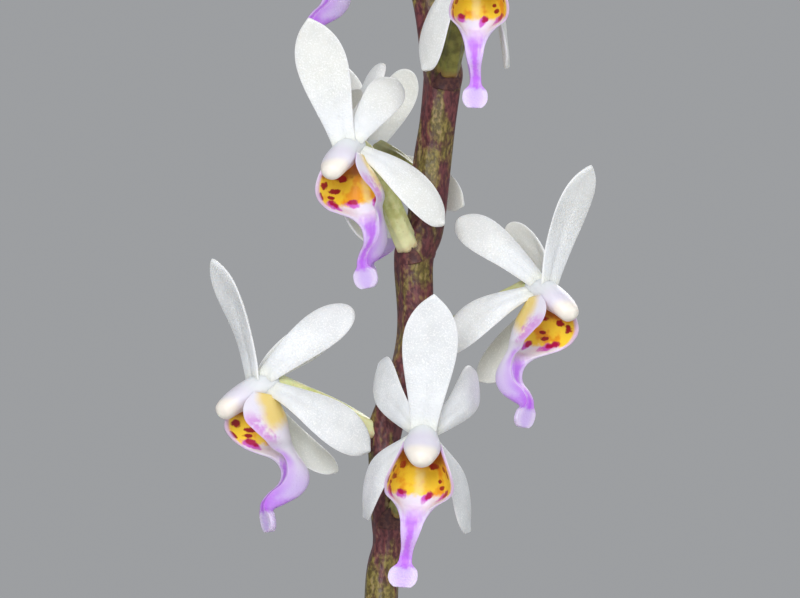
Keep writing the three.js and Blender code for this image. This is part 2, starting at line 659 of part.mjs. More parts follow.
function add(name, geometry, color, roughness) {
  const material = new THREE.MeshStandardMaterial({ color, roughness, metalness: 0 });
  const mesh = new THREE.Mesh(geometry, material);
  mesh.name = name;
  group.add(mesh);
  return mesh;
}

add("pot", pot(), COLOURS.pot, 0.85);
add("bark_medium", medium(), COLOURS.bark, 0.9);
add("roots", roots(), COLOURS.root, 0.7);
add("stem", stem(), COLOURS.stem, 0.6);
LEAVES.forEach((shape, i) => add(`leaf_${i + 1}`, leaf(shape), COLOURS.leaf, 0.45));
add("rachis", rachis(), COLOURS.rachis, 0.55);
for (const flower of FLOWERS) {
  const matrix = flowerMatrix(flower);
  add(`perianth_${flower.name}`, perianth(flower).applyMatrix4(matrix), COLOURS.tepal, 0.5);
  add(`lip_${flower.name}`, lip(flower).applyMatrix4(matrix), COLOURS.lip, 0.4);
  add(`pedicel_${flower.name}`, pedicel(flower), COLOURS.pedicel, 0.45);
}
BUDS.forEach((shape, i) => add(`bud_${i + 1}`, bud(shape), COLOURS.bud, 0.5));

export default group;
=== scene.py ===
# %% [markdown]
# # A potted orchid in flower
#
# The real plant is a small orchid: a clay pot with bark, grey roots, a leafy stem and one upright
# stalk of white flowers with boat-shaped lips. The solids give every piece its place and size.
# This lesson grows smooth, fine surfaces over them and paints each one with a procedural finish.

import json

import bpy
import numpy as np
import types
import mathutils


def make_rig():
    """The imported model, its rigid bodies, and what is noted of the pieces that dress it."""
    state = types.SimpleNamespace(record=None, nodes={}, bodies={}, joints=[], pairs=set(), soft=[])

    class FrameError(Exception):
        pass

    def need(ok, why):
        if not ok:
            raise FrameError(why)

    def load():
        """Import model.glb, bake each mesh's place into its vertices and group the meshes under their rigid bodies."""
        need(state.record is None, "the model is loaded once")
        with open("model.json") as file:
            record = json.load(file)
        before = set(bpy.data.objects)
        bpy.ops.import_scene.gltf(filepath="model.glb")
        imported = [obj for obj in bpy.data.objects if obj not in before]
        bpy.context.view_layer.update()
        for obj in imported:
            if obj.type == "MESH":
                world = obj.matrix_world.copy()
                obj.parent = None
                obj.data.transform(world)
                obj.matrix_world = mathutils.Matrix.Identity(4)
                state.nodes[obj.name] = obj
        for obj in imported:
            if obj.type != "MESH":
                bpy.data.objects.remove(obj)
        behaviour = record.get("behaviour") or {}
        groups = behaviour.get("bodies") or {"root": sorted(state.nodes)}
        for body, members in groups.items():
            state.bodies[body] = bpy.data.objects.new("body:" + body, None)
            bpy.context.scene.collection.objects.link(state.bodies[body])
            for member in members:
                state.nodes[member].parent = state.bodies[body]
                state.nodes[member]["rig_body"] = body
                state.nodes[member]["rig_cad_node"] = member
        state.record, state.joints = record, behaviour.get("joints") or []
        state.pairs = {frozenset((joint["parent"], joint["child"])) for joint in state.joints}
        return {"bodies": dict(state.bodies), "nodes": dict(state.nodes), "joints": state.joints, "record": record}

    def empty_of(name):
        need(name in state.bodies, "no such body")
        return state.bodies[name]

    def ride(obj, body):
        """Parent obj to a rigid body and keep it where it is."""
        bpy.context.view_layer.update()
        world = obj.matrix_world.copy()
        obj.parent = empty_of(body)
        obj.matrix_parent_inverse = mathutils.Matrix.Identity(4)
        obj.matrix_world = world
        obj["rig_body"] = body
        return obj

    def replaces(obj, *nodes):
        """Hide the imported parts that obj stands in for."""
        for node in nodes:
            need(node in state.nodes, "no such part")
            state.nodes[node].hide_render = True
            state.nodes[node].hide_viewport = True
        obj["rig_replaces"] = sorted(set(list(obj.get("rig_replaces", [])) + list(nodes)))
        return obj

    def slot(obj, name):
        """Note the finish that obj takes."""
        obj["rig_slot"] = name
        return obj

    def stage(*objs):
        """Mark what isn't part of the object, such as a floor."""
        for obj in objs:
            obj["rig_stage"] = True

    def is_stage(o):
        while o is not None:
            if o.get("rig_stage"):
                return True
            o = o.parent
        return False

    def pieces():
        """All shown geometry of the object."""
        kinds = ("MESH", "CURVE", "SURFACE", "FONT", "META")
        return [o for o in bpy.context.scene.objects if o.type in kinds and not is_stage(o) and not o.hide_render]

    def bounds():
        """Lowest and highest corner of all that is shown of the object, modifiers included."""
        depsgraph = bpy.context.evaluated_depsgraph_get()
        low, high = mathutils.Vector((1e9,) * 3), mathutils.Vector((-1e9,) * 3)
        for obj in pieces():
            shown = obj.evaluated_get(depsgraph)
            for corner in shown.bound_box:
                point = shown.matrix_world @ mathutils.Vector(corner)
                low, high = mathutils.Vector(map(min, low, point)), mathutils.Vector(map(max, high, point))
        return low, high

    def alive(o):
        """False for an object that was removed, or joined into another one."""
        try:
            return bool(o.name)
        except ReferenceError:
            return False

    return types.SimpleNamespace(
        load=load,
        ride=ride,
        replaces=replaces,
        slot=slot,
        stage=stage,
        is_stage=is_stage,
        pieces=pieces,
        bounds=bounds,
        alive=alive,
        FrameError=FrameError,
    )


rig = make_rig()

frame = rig.load()
cad_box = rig.bounds()
print("nodes in the frame:", len(frame["nodes"]))

# %% [markdown]
# ## Camera
#
# A flower portrait is taken from a little way off with a long lens. The camera stands level with
# the middle flowers, square on to the stalk, so the picture's scale can be worked out from the
# sensor, the distance and the width that the picture covers.

# %% Camera
MM = 0.001
BLOOM_Z = 180.0  # height of the middle of the open flowers, mm
CAMERA_DISTANCE = 400.0  # mm
PICTURE_WIDTH = 58.82  # width of the view at the stalk, mm
SENSOR_WIDTH = 36.0  # mm
CLIP_START = 0.01  # m


def add_object(name, data):
    """A new object with its data, linked to the scene."""
    added = bpy.data.objects.new(name, data)
    bpy.context.scene.collection.objects.link(added)
    return added


lens = bpy.data.cameras.new("portrait_lens")
lens.sensor_width = SENSOR_WIDTH
lens.lens = SENSOR_WIDTH * CAMERA_DISTANCE / PICTURE_WIDTH
lens.clip_start = CLIP_START
camera = add_object("portrait_camera", lens)
camera.location = (0, -CAMERA_DISTANCE * MM, BLOOM_Z * MM)
camera.rotation_euler = (np.pi / 2, 0, 0)
bpy.context.scene.camera = camera
print("lens", round(lens.lens, 1), "mm")

# %% [markdown]
# ## Surfaces from rings of points
#
# Petals, stalks, leaves and roots are all long closed shapes, so each is a stack of rings: a
# section that is carried along a line. One builder turns such a grid of points into a mesh, zips
# up both ends and turns the faces outwards. That is quicker and tidier than modelling by hand.

# %% Grids


def circle_angles(count):
    """Angles evenly round a circle, as one row."""
    return np.linspace(0, 2 * np.pi, count, endpoint=False)[None, :]


def vectors(*numbers):
    """Numbers given by row, by column or for both, filled out to a grid and joined as vectors."""
    return np.stack(np.broadcast_arrays(*numbers), axis=-1)


def ring_faces(rows, columns, wrap):
    """Quads between neighbouring rings, plus a zip across each end ring unless the rows wrap. The
    zip is of quads alone, so a sliver one step wide is left open where it starts and ends."""
    row = np.arange(rows if wrap else rows - 1)[:, None]
    column = np.arange(columns)[None, :]
    this_row, next_row = row * columns, (row + 1) % rows * columns
    next_column = (column + 1) % columns
    quads = vectors(
        this_row + column, this_row + next_column, next_row + next_column, next_row + column
    ).reshape(-1, 4)
    if wrap:
        return quads
    k = np.arange(1, columns // 2 - 1)
    zip_strip = np.stack([k, -k % columns, (-k - 1) % columns, k + 1], axis=-1)
    last = (rows - 1) * columns
    return np.concatenate([quads, zip_strip, zip_strip[:, ::-1] + last])


def outward(points, faces):
    """The faces, turned round where the surface would enclose a negative volume."""
    a, b, c, d = (points[faces[:, i]] for i in range(4))
    volume = np.einsum("ij,ij->", a, np.cross(b, c)) + np.einsum("ij,ij->", a, np.cross(c, d))
    return faces if volume > 0 else faces[:, ::-1]


# %% The builder


def write_values(mesh, shells):
    """Stores the shells' named values on the mesh's points, for the finishes to read."""
    for key in sorted({key for shell in shells for key in shell} - {"points", "finish", "wrap"}):
        triple = any(np.ndim(shell.get(key, 0.0)) == 3 for shell in shells)
        kind, field, depth = ("FLOAT_VECTOR", "vector", 3) if triple else ("FLOAT", "value", 2)
        values = [
            np.broadcast_to(shell.get(key, 0.0), shell["points"].shape[:depth]).ravel()
            for shell in shells
        ]
        layer = mesh.attributes.new(key, kind, "POINT")
        layer.data.foreach_set(field, np.concatenate(values).astype(np.float32))


def make_piece(name, shells, finishes, slot, stands_for):
    """One object from shells. Each shell is a dict of points (rows, columns, 3) in mm, an optional
    finish number, wrap, and any named values: a number or an array that fills out to the grid,
    with one or three numbers for each point."""
    grids = [shell["points"] for shell in shells]
    starts = np.cumsum([0] + [grid[..., 0].size for grid in grids])
    faces, finish_numbers = [], []
    for shell, grid, start in zip(shells, grids, starts):
        quads = ring_faces(grid.shape[0], grid.shape[1], shell.get("wrap", False))
        faces.append(outward(grid.reshape(-1, 3), quads) + start)
        finish_numbers.append(np.full(len(quads), shell.get("finish", 0), dtype=np.int32))
    points = np.concatenate([grid.reshape(-1, 3) for grid in grids]) * MM
    faces = np.concatenate(faces).astype(np.int32)
    mesh = bpy.data.meshes.new(name)
    mesh.vertices.add(len(points))
    mesh.vertices.foreach_set("co", points.astype(np.float32).ravel())
    mesh.loops.add(faces.size)
    mesh.loops.foreach_set("vertex_index", faces.ravel())
    mesh.polygons.add(len(faces))
    mesh.polygons.foreach_set("loop_start", np.arange(0, faces.size, 4, dtype=np.int32))
    mesh.polygons.foreach_set("material_index", np.concatenate(finish_numbers))
    mesh.update(calc_edges=True)
    mesh.validate()
    mesh.polygons.foreach_set("use_smooth", np.ones(len(mesh.polygons), dtype=bool))
    write_values(mesh, shells)
    for finish in finishes:
        mesh.materials.append(finish)
    piece = add_object(name, mesh)
    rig.ride(piece, "root")
    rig.slot(piece, slot)
    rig.replaces(piece, *stands_for)
    return piece


# %% Curves and sections


def smooth_rows(rows, count):
    """Rows of numbers made finer: an evenly shared run of cubic pieces through them (each piece
    leaves and meets its rows with the slope between their two neighbours)."""
    rows = np.asarray(rows, dtype=float)
    padded = np.concatenate([2 * rows[:1] - rows[1:2], rows, 2 * rows[-1:] - rows[-2:-1]])
    place = np.linspace(0, len(rows) - 1 - 1e-9, count)  # ends just short of the last row
    i = place.astype(int)
    t = (place - i)[:, None]
    a, b, c, d = padded[i], padded[i + 1], padded[i + 2], padded[i + 3]
    return b + 0.5 * t * (c - a + t * (2 * a - 5 * b + 4 * c - d + t * (3 * (b - c) + d - a)))


def unit(vector):
    """Vectors shortened or stretched to length one."""
    return vector / np.maximum(np.linalg.norm(vector, axis=-1, keepdims=True), 1e-12)


def heading(degrees):
    """The level direction at an angle from the front, seen from above."""
    turn = np.radians(degrees)
    return np.array([np.sin(turn), -np.cos(turn), 0])


def length_along(path):
    """How far along its path each point lies."""
    return np.concatenate([[0], np.cumsum(np.linalg.norm(np.diff(path, axis=0), axis=1))])


def tube(path, radius, sides, reference=(1, 0, 0), flat=1.0, ridges=None):
    """A round section carried along a path: the point at angle a is the path point plus radius
    times (cos a across + flat sin a upright), where across is the reference made square to the
    path. ridges(a, share) scales the radius."""
    along = unit(np.gradient(path, axis=0))
    reference = np.broadcast_to(np.asarray(reference, dtype=float), path.shape)
    across = unit(reference - along * np.sum(along * reference, axis=1, keepdims=True))
    upright = np.cross(along, across)
    angle = circle_angles(sides)
    size = np.asarray(radius, dtype=float).reshape(-1, 1) * np.ones_like(angle)
    if ridges is not None:
        size = size * ridges(angle, np.linspace(0, 1, len(path))[:, None])
    flat = np.asarray(flat, dtype=float).reshape(-1, 1)
    ring = (size * np.cos(angle))[..., None] * across[:, None, :]
    ring = ring + (size * flat * np.sin(angle))[..., None] * upright[:, None, :]
    place = vectors(np.cos(angle), np.sin(angle), length_along(path)[:, None])
    return {"points": path[:, None, :] + ring, "place": place}


DOME_END = 0.02  # share of the radius that is left at a domed end


def domed(radius, path, share=0.6):
    """Radii drawn in like a quarter circle over the last stretch, so that an end is round. The
    stretch is the last radius and a share of it."""
    length = length_along(path)
    reach = np.asarray(radius)[-1] * (1 + share)
    near = np.clip(1 - (length[-1] - length) / reach, 0, 1)
    return radius * np.sqrt(np.maximum(1 - near**2, DOME_END**2))


# %% [markdown]
# ## Finishes from Python expressions
#
# Node trees are long to click together, so a small class wraps a socket and lets plain arithmetic
# build the Math nodes. Every finish below is then a few lines that read like a recipe: a base
# colour, coats over it, a roughness and a fine relief.

# %% The socket class


def math_node(operation, swapped=False):
    """A method that combines a value with another one through a Math node."""

    def method(self, other):
        first, second = (other, self) if swapped else (self, other)
        return self.finish.node("ShaderNodeMath", {"operation": operation}, {0: first, 1: second})

    return method


class Value:
    """A socket that can be added, multiplied and so on, each time through a Math node."""

    def __init__(self, finish, out):
        self.finish, self.out = finish, out

    __add__ = __radd__ = math_node("ADD")
    __mul__ = __rmul__ = math_node("MULTIPLY")
    __sub__, __rsub__ = math_node("SUBTRACT"), math_node("SUBTRACT", swapped=True)
    __truediv__ = math_node("DIVIDE")
    __pow__ = math_node("POWER")

    def __abs__(self):
        """The value without its sign, as the root of its square."""
        return (self**2) ** 0.5


class Finish:
    """A material: constants are set on its shader, and patterns are built from nodes."""

    def __init__(self, name, **constants):
        self.material = bpy.data.materials.new(name)
        self.material.use_nodes = True
        self.tree = self.material.node_tree
        self.shader = next(n for n in self.tree.nodes if n.type == "BSDF_PRINCIPLED")
        for socket, value in constants.items():
            self.shader.inputs[socket.replace("_", " ")].default_value = value
        self.place = self.node("ShaderNodeTexCoord", {}, {}, "Object")

    def connect(self, value, socket):
        """Links a value to a socket, or sets plain numbers. A colour has three of them."""
        if isinstance(value, Value):
            self.tree.links.new(value.out, socket)
        else:
            socket.default_value = (*value, 1) if socket.type == "RGBA" else value

    def node(self, kind, settings, inputs, out=0):
        """A node of a kind, with its settings and then its sockets, as the value of one output."""
        node = self.tree.nodes.new(kind)
        for key, value in settings.items():
            setattr(node, key, value)
        for key, value in inputs.items():
            self.connect(value, node.inputs[key])
        return Value(self, node.outputs[out])

    def noise(self, size_mm, detail=2.0, where=None, rough=0.5):
        """Cloudy noise around 0.5, with blots of about the size."""
        inputs = {"Vector": where or self.place, "Scale": 1 / (size_mm * MM)}
        return self.node("ShaderNodeTexNoise", {}, {**inputs, "Detail": detail, "Roughness": rough})

    def cells(self, size_mm):
        """Rounded cells of about the size, by the distance from their middles."""
        inputs = {"Vector": self.place, "Scale": 1 / (size_mm * MM)}
        return self.node("ShaderNodeTexVoronoi", {}, inputs, "Distance")

    def stretched(self, *scale):
        """The place on the object, scaled by axis: a pattern is longer where the scale is small."""
        settings = {"operation": "MULTIPLY"}
        return self.node("ShaderNodeVectorMath", settings, {0: self.place, 1: scale})

    def named(self, attribute, out="Vector"):
        """A value that the shells carry: a vector, or with "Fac" a single number."""
        return self.node("ShaderNodeAttribute", {"attribute_name": attribute}, {}, out)

    def parts(self, vector):
        """The three numbers of a vector, each as a value."""
        split = self.node("ShaderNodeSeparateXYZ", {}, {0: vector}).out.node
        return [Value(self, split.outputs[i]) for i in range(3)]

    def step(self, value, low, high, start=0.0, end=1.0):
        """A smooth step from start to end as the value goes from low to high."""
        settings = {"interpolation_type": "SMOOTHSTEP"}
        inputs = {"Value": value, "From Min": low, "From Max": high, "To Min": start, "To Max": end}
        return self.node("ShaderNodeMapRange", settings, inputs)

    def mix(self, low, high, factor):
        """Two colours mixed: the low one at factor 0 and the high one at 1."""
        settings = {"data_type": "RGBA", "clamp_factor": True}
        return self.node("ShaderNodeMix", settings, {0: factor, 6: low, 7: high}, 2)

    def coats(self, color, *layers):
        """A colour with coats over it, each a colour and the share of it that shows."""
        for layer, shows in layers:
            color = self.mix(color, layer, shows)
        return color

    def finish(self, color, roughness=None, relief=None, depth_mm=0.02):
        """Links the colour, roughness and relief, given in mm at 1, to the shader."""
        self.connect(color, self.shader.inputs["Base Color"])
        if roughness is not None:
            self.connect(roughness, self.shader.inputs["Roughness"])
        if relief is not None:
            inputs = {"Height": relief, "Strength": 1.0, "Distance": depth_mm * MM}
            self.connect(self.node("ShaderNodeBump", {}, inputs), self.shader.inputs["Normal"])
        return self.material


# %% [markdown]
# ## Petal white
#
# The sepals and petals are not flat white. Their skin is made of tiny clear cells that sparkle,
# the tissue beneath is a little see-through, and the feet are creamy. A very fine cell pattern
# gives the sparkle as relief and as small changes of roughness, and fine white flecks painted
# into the colour stand for its glints of light.

# %% Tepal finish


def tepal_finish():
    paint = Finish("tepal_white", Subsurface_Weight=0.25, Subsurface_Scale=0.0008,
                   Subsurface_Radius=(1.0, 0.85, 0.7), IOR=1.42)
    share, edge, back = paint.parts(paint.named("blade"))
    grain, fine, cloud = paint.cells(0.16), paint.noise(0.11, 3), paint.noise(1.6, 2)
    veins = paint.noise(0.55, 2, paint.stretched(1, 1, 0.12))
    painted_glints = paint.step(fine, 0.54, 0.62) * paint.step(share, 0.15, 0.45)
    cream = paint.named("cream", "Fac") * paint.step(share, 0.15, 0.6) * (1 - painted_glints * 0.6)
    white = paint.coats(
        paint.mix((0.74, 0.76, 0.78), (0.80, 0.82, 0.84), paint.step(cloud, 0.35, 0.65)),
        ((0.62, 0.64, 0.66), paint.step(veins, 0.6, 0.8) * 0.25),
        # painted highlight: fine white flecks on the cells stand for their glints of light
        ((1.0, 1.0, 1.0), painted_glints * 0.6),
        ((0.86, 0.86, 0.70), paint.step(share, 0.14, 0.0) * 0.5 + back * 0.22),  # creamy foot
        ((0.80, 0.79, 0.68), cream * 0.36),
        # painted highlight: the thin edges whitened as if light shone through them
        ((0.95, 0.95, 0.96), paint.step(edge, 0.9, 1.0) * 0.6),  # bright edge
    )
    relief = (grain * 0.7 + fine * 0.7 + cloud * 0.3) * paint.step(share, 0.88, 0.5)
    return paint.finish(white, paint.step(fine, 0.4, 0.65, 0.5, 0.3), relief, 0.04)


TEPAL_WHITE = tepal_finish()
print("finish", TEPAL_WHITE.name)

# %% [markdown]
# ## Sepals and petals
#
# Each is a thin blade on a line from foot to tip: its half width swells towards the tip, its line
# arches and its edges rise or fall a little. The section is a flat lens, so the edge is rounded
# as on the real blade and the whole is one closed surface.

# %% Blades


def swelling(t, peak, power):
    """0 at the foot, 1 at peak and 0 at the tip: a sine of a power of t, raised to a power."""
    return np.maximum(0, np.sin(np.pi * t ** (np.log(0.5) / np.log(peak)))) ** power


def dorsal_half(t):
    """Half width of the upper sepal: a narrowing foot plus a swelling near the tip."""
    return 0.92 * (1 - t) ** 1.1 + 1.68 * swelling(t, 0.69, 0.66)


def petal_half(t):
    """Half width of a petal: a narrow foot and a swelling that ends round."""
    return 0.6 * (1 - t) ** 2 + 1.42 * swelling(t, 0.7, 0.46)


def sepal_half(t):
    """Half width of a lateral sepal: its swelling ends rounder than it begins."""
    return 0.65 * (1 - t) ** 1.2 + 1.52 * swelling(t, 0.7, 0.72 - 0.3 * t)


BLADE_ROWS, BLADE_SIDES = 44, 40
BLADE_THICKNESS = 0.46  # mm
EDGE_RIPPLE, FACE_WAVE, MIDRIB_DEPTH = 0.09, 0.05, 0.1  # the first is a share of the half width
POINT_FROM = 0.9  # share of the blade where a small point at its end begins


def blade(base, tip, normal, half, bow, cup, seed, point=0.0):
    """A closed blade. At share t and angle a, its point is base + axis t + wide (half(t) cos a)
    + face (bow 4t(1-t) + cup half(t) cos² a + ripple + thickness/2 sin a). A small point, in mm,
    stands out at the end of the middle line."""
    base, tip, normal = (np.asarray(v, dtype=float) for v in (base, tip, normal))
    axis = tip - base
    along = unit(axis)
    face = unit(normal - along * np.dot(normal, along))
    wide = np.cross(along, face)
    # The rows stand closer together towards both ends
    t = (0.5 - 0.5 * np.cos(np.pi * np.linspace(0, 1, BLADE_ROWS) ** 0.8))[:, None]
    angle = circle_angles(BLADE_SIDES)
    v = np.cos(angle)
    h = np.maximum(half(t), 0.05)
    phase = seed * 1.7
    ripple = EDGE_RIPPLE * h * np.sin(7 * t + phase) * np.abs(v) ** 2 * np.sign(v)
    wave = FACE_WAVE * np.sin(3.1 * t * np.pi + 2 * v + phase) * swelling(t, 0.6, 1.0)
    midrib = MIDRIB_DEPTH * np.exp(-((v * h) / 0.22) ** 2) * (1 - t)
    thickness = BLADE_THICKNESS / 2 * np.minimum(1, h / 0.4) * np.sin(angle)
    lift = bow * 4 * t * (1 - t) + cup * h * v**2 + (ripple + wave) - midrib + thickness
    points = base + t[..., None] * axis + (h * v)[..., None] * wide + lift[..., None] * face
    near_tip = np.clip((t - POINT_FROM) / (1 - POINT_FROM), 0, 1) ** 2
    stands_out = point * np.exp(-((h * v / 0.3) ** 2)) * near_tip
    points = points + stands_out[..., None] * along
    return {"points": points, "blade": vectors(t, np.abs(v), np.where(np.sin(angle) < 0, 1.0, 0.0))}


# %% [markdown]
# ## Where the flowers stand
#
# Ten flowers face outwards round the stalk. Each has a place, a heading and its own spread of
# petals and sepals. A flower is built once in its own axes, to the viewer's right, to the back and
# up, and then turned and moved as an array.

# %% Flower places
# at is a flower's middle and node is where its pedicel leaves, both in mm from BLOOM_Z. yaw, pitch
# and roll turn the flower, and open turns its petals to the front, all in degrees. petals and
# sepals are the tips from their feet (out, back, up), left first, and dorsal is the upper sepal's
# tip. faces turn and bows arch the lateral sepals. sway and slim shape the lip, leaves moves the
# pedicel's start sideways, and cream tints the white. olive darkens the pedicel towards dark olive:
# partly its own colour and partly painted shade, most where the pedicel lies in shade.
USUAL = dict(pitch=0, roll=0, open=30, petals=[(1.5, 6.5, 4.6)] * 2, sepals=[(2.6, 6.1, -4.6)] * 2,
             dorsal=(0, -3.5, 9.0), dorsal_face=0.0, faces=(0.0, 0.0), bows=(1.1, 1.1), sway=0.0,
             slim=1.0, leaves=0.0, olive=0.5, cream=0.5)
OWN = {
    "a": dict(at=(1.7, -9.5, -9.25), yaw=0, pitch=6, roll=4.5, size=1.02, node=-15.5, open=24,
              petals=[(2.45, 5.9, 4.7), (2.35, 5.9, 4.5)],
              sepals=[(2.75, 5.0, -5.25), (2.8, 5.0, -5.7)],
              faces=(-0.5, -0.3), bows=(1.1, 0.7), sway=-0.65, leaves=0.7, olive=0.9, cream=0.0),
    "b": dict(at=(-3.75, -6.6, 11.4), yaw=-32, roll=-11, size=0.95, node=3.9, open=40,
              petals=[(0.6, 5.5, 3.9), (1.55, 4.6, 4.2)],
              sepals=[(1.8, 4.4, -6.25), (4.1, 3.0, -6.45)], dorsal=(0.42, -3.4, 9.27),
              dorsal_face=0.5, faces=(-0.6, -0.4), sway=-0.3, olive=0.15, cream=1.0),
    "c": dict(at=(-10.15, -1.6, -5.8), yaw=-68, roll=-9, size=1.0, node=-9.9, open=20,
              petals=[(1.4, 7.2, 3.9), (1.5, 6.7, 4.65)],
              sepals=[(1.3, 5.8, -5.7), (2.3, 6.35, -4.9)], dorsal=(0, -3.3, 8.75),
              dorsal_face=0.05, faces=(-1.1, 0.0), olive=0.05, cream=0.1),
    "d": dict(at=(10.4, -3.6, 1.2), yaw=48, roll=10, size=0.95, node=-3.8,
              petals=[(2.0, 7.0, 4.3), (1.5, 6.65, 4.6)],
              sepals=[(1.9, 6.6, -4.9), (1.4, 6.8, -6.3)], sway=-0.5, olive=0.4),
    "e": dict(at=(5.7, -8.6, 24.8), yaw=4, pitch=2, roll=2, size=0.98, node=16.7, open=45,
              petals=[(2.0, 5.8, 5.2)] * 2, sepals=[(2.6, 3.4, -7.35), (1.9, 5.0, -6.8)],
              faces=(-0.6, 0.0), bows=(0.75, 0.3), slim=0.9, olive=1.0, cream=0.9),
    "f": dict(at=(-6.3, -2.2, 29.3), yaw=-54, size=0.98, node=24.6),
    "g": dict(at=(-2.3, 5.4, 11.4), yaw=-130, size=0.9, node=8.4,
              petals=[(0.75, 3.2, 6.1), (0.75, 3.2, 6.5)],
              sepals=[(2.8, 6.5, -4.0), (1.7, 4.7, -6.6)], dorsal=(0, -3.2, 6.9), olive=0.9),
    "h": dict(at=(10.4, 4.4, 35.4), yaw=100, roll=3, size=0.92, node=31.4),
    "i": dict(at=(-4.6, 8.0, 39.6), yaw=-145, size=0.88, node=34.9, open=40),
    "j": dict(at=(0.2, -8.2, 43.2), yaw=-12, roll=-4, size=0.84, node=38, open=50,
              petals=[(1.9, 5.4, 5.2)] * 2, sepals=[(2.6, 5.0, -5.4)] * 2),
}
FLOWERS = {letter: {**USUAL, **own} for letter, own in OWN.items()}


def turn_matrix(yaw, pitch, roll):
    """Roll about the line of sight, then pitch the face up, then yaw about the upright."""
    y, p, r = np.radians([yaw, -pitch, roll])
    about_z = np.array([[np.cos(y), -np.sin(y), 0], [np.sin(y), np.cos(y), 0], [0, 0, 1]])
    about_x = np.array([[1, 0, 0], [0, np.cos(p), -np.sin(p)], [0, np.sin(p), np.cos(p)]])
    about_y = np.array([[np.cos(r), 0, np.sin(r)], [0, 1, 0], [-np.sin(r), 0, np.cos(r)]])
    return about_z @ about_x @ about_y


def placed(points, flower):
    """Points of a flower's own axes, scaled, turned and moved to its place on the stalk."""
    turn = turn_matrix(flower["yaw"], flower["pitch"], flower["roll"]) * flower["size"]
    return np.asarray(points) @ turn.T + np.array(flower["at"]) + (0, 0, BLOOM_Z)


# %% Perianth shells
DORSAL_FOOT = (0, -0.6, -0.3)
PETAL_FOOT, PETAL_SUNK = np.array([[0.95, -0.2, 0.15], [0.4, -0.1, 0.25]])
SEPAL_FOOT, SEPAL_SUNK = np.array([[0.85, 0.45, -0.9], [0.15, 0.05, -0.12]])


def tepal_shells(flower, number):
    """The upper sepal, two petals and two lateral sepals of a flower. The four that come in pairs
    start a little inside their feet, sunk into the column."""
    face = (flower["dorsal_face"], -1, 0)
    shells = [blade(DORSAL_FOOT, flower["dorsal"], face, dorsal_half, -0.6, 0.12, number, 0.12)]
    turned, level = np.sin(np.radians(flower["open"])), np.cos(np.radians(flower["open"]))
    for i, side in enumerate((-1, 1)):
        mirror = np.array([side, 1, 1])
        base, tip = (PETAL_FOOT - PETAL_SUNK) * mirror, (PETAL_FOOT + flower["petals"][i]) * mirror
        face = (side * level, -0.55 * turned, 0.83 * turned)
        shells.append(blade(base, tip, face, petal_half, 1.0, -0.1, number + i + 1))
        base, tip = (SEPAL_FOOT - SEPAL_SUNK) * mirror, (SEPAL_FOOT + flower["sepals"][i]) * mirror
        face, bow = (side, flower["faces"][i], 0.1), flower["bows"][i]
        shells.append(blade(base, tip, face, sepal_half, bow, -0.1, number + i + 3, 0.2))
    return shells


# %% [markdown]
# ## Column and anther cap
#
# In the middle of an orchid stands the column, where stamen and style have grown together. Here it
# is a short, broad, lavender-white hood that ends in a rounded creamy cap with a fine groove. It is
# a line of oval sections, and the distance along it tells the paint where the cap begins.

# %% Column
COLUMN = [  # back, up, half width, half height
    (1.3, -0.2, 0.6, 0.55), (0.8, -0.3, 1.0, 0.85), (0.0, -0.55, 1.02, 0.95),
    (-0.8, -0.98, 1.16, 1.0), (-1.6, -1.42, 1.3, 0.96), (-2.2, -1.76, 1.25, 0.88),
    (-2.62, -2.06, 1.1, 0.82), (-2.95, -2.32, 0.93, 0.76), (-3.25, -2.56, 0.7, 0.63),
    (-3.48, -2.76, 0.38, 0.4),
]
COLUMN_ROWS, COLUMN_SIDES = 48, 40


def column_shell():
    """Oval sections, a little flatter than wide, along the column's middle line."""
    back, up, wide, high = smooth_rows(COLUMN, COLUMN_ROWS).T
    path = vectors(0.0, back, up)
    return tube(path, domed(wide, path, 0.2), COLUMN_SIDES, flat=high / wide)


def column_finish():
    paint = Finish("column_lavender", Subsurface_Weight=0.3, Subsurface_Scale=0.0008,
                   Subsurface_Radius=(1.0, 0.8, 0.8), IOR=1.42)
    across, _, along = paint.parts(paint.named("place"))
    cap = paint.step(along + (across**2) * 0.35, 4.1, 4.9)
    lavender = paint.mix((0.82, 0.80, 0.87), (0.74, 0.70, 0.82), paint.noise(1.1, 2))
    color = paint.mix(lavender, (0.95, 0.88, 0.78), cap * 0.9)
    color = paint.mix((0.80, 0.82, 0.85), color, paint.step(along, 2.0, 3.6))  # white foot
    color = paint.mix(color, (0.97, 0.92, 0.78), paint.step(along, 5.3, 5.7))  # creamy end
    groove = paint.step(along, 3.8, 4.0) * paint.step(along, 4.3, 4.05)
    return paint.finish(color, 0.38, paint.noise(0.12, 2) * 0.4 - groove * 0.4, 0.03)


COLUMN_LAVENDER = column_finish()
print("finish", COLUMN_LAVENDER.name)

# %% [markdown]
# ## The lip
#
# The lip is the orchid's landing place: a boat with a golden, spotted mouth, a deep narrow keel
# that swings back, and a small blunt lobe at the end. Rows give its back line, rim and width. The
# section is a U with a rounded rim, and the points keep their place on the lip for painting.

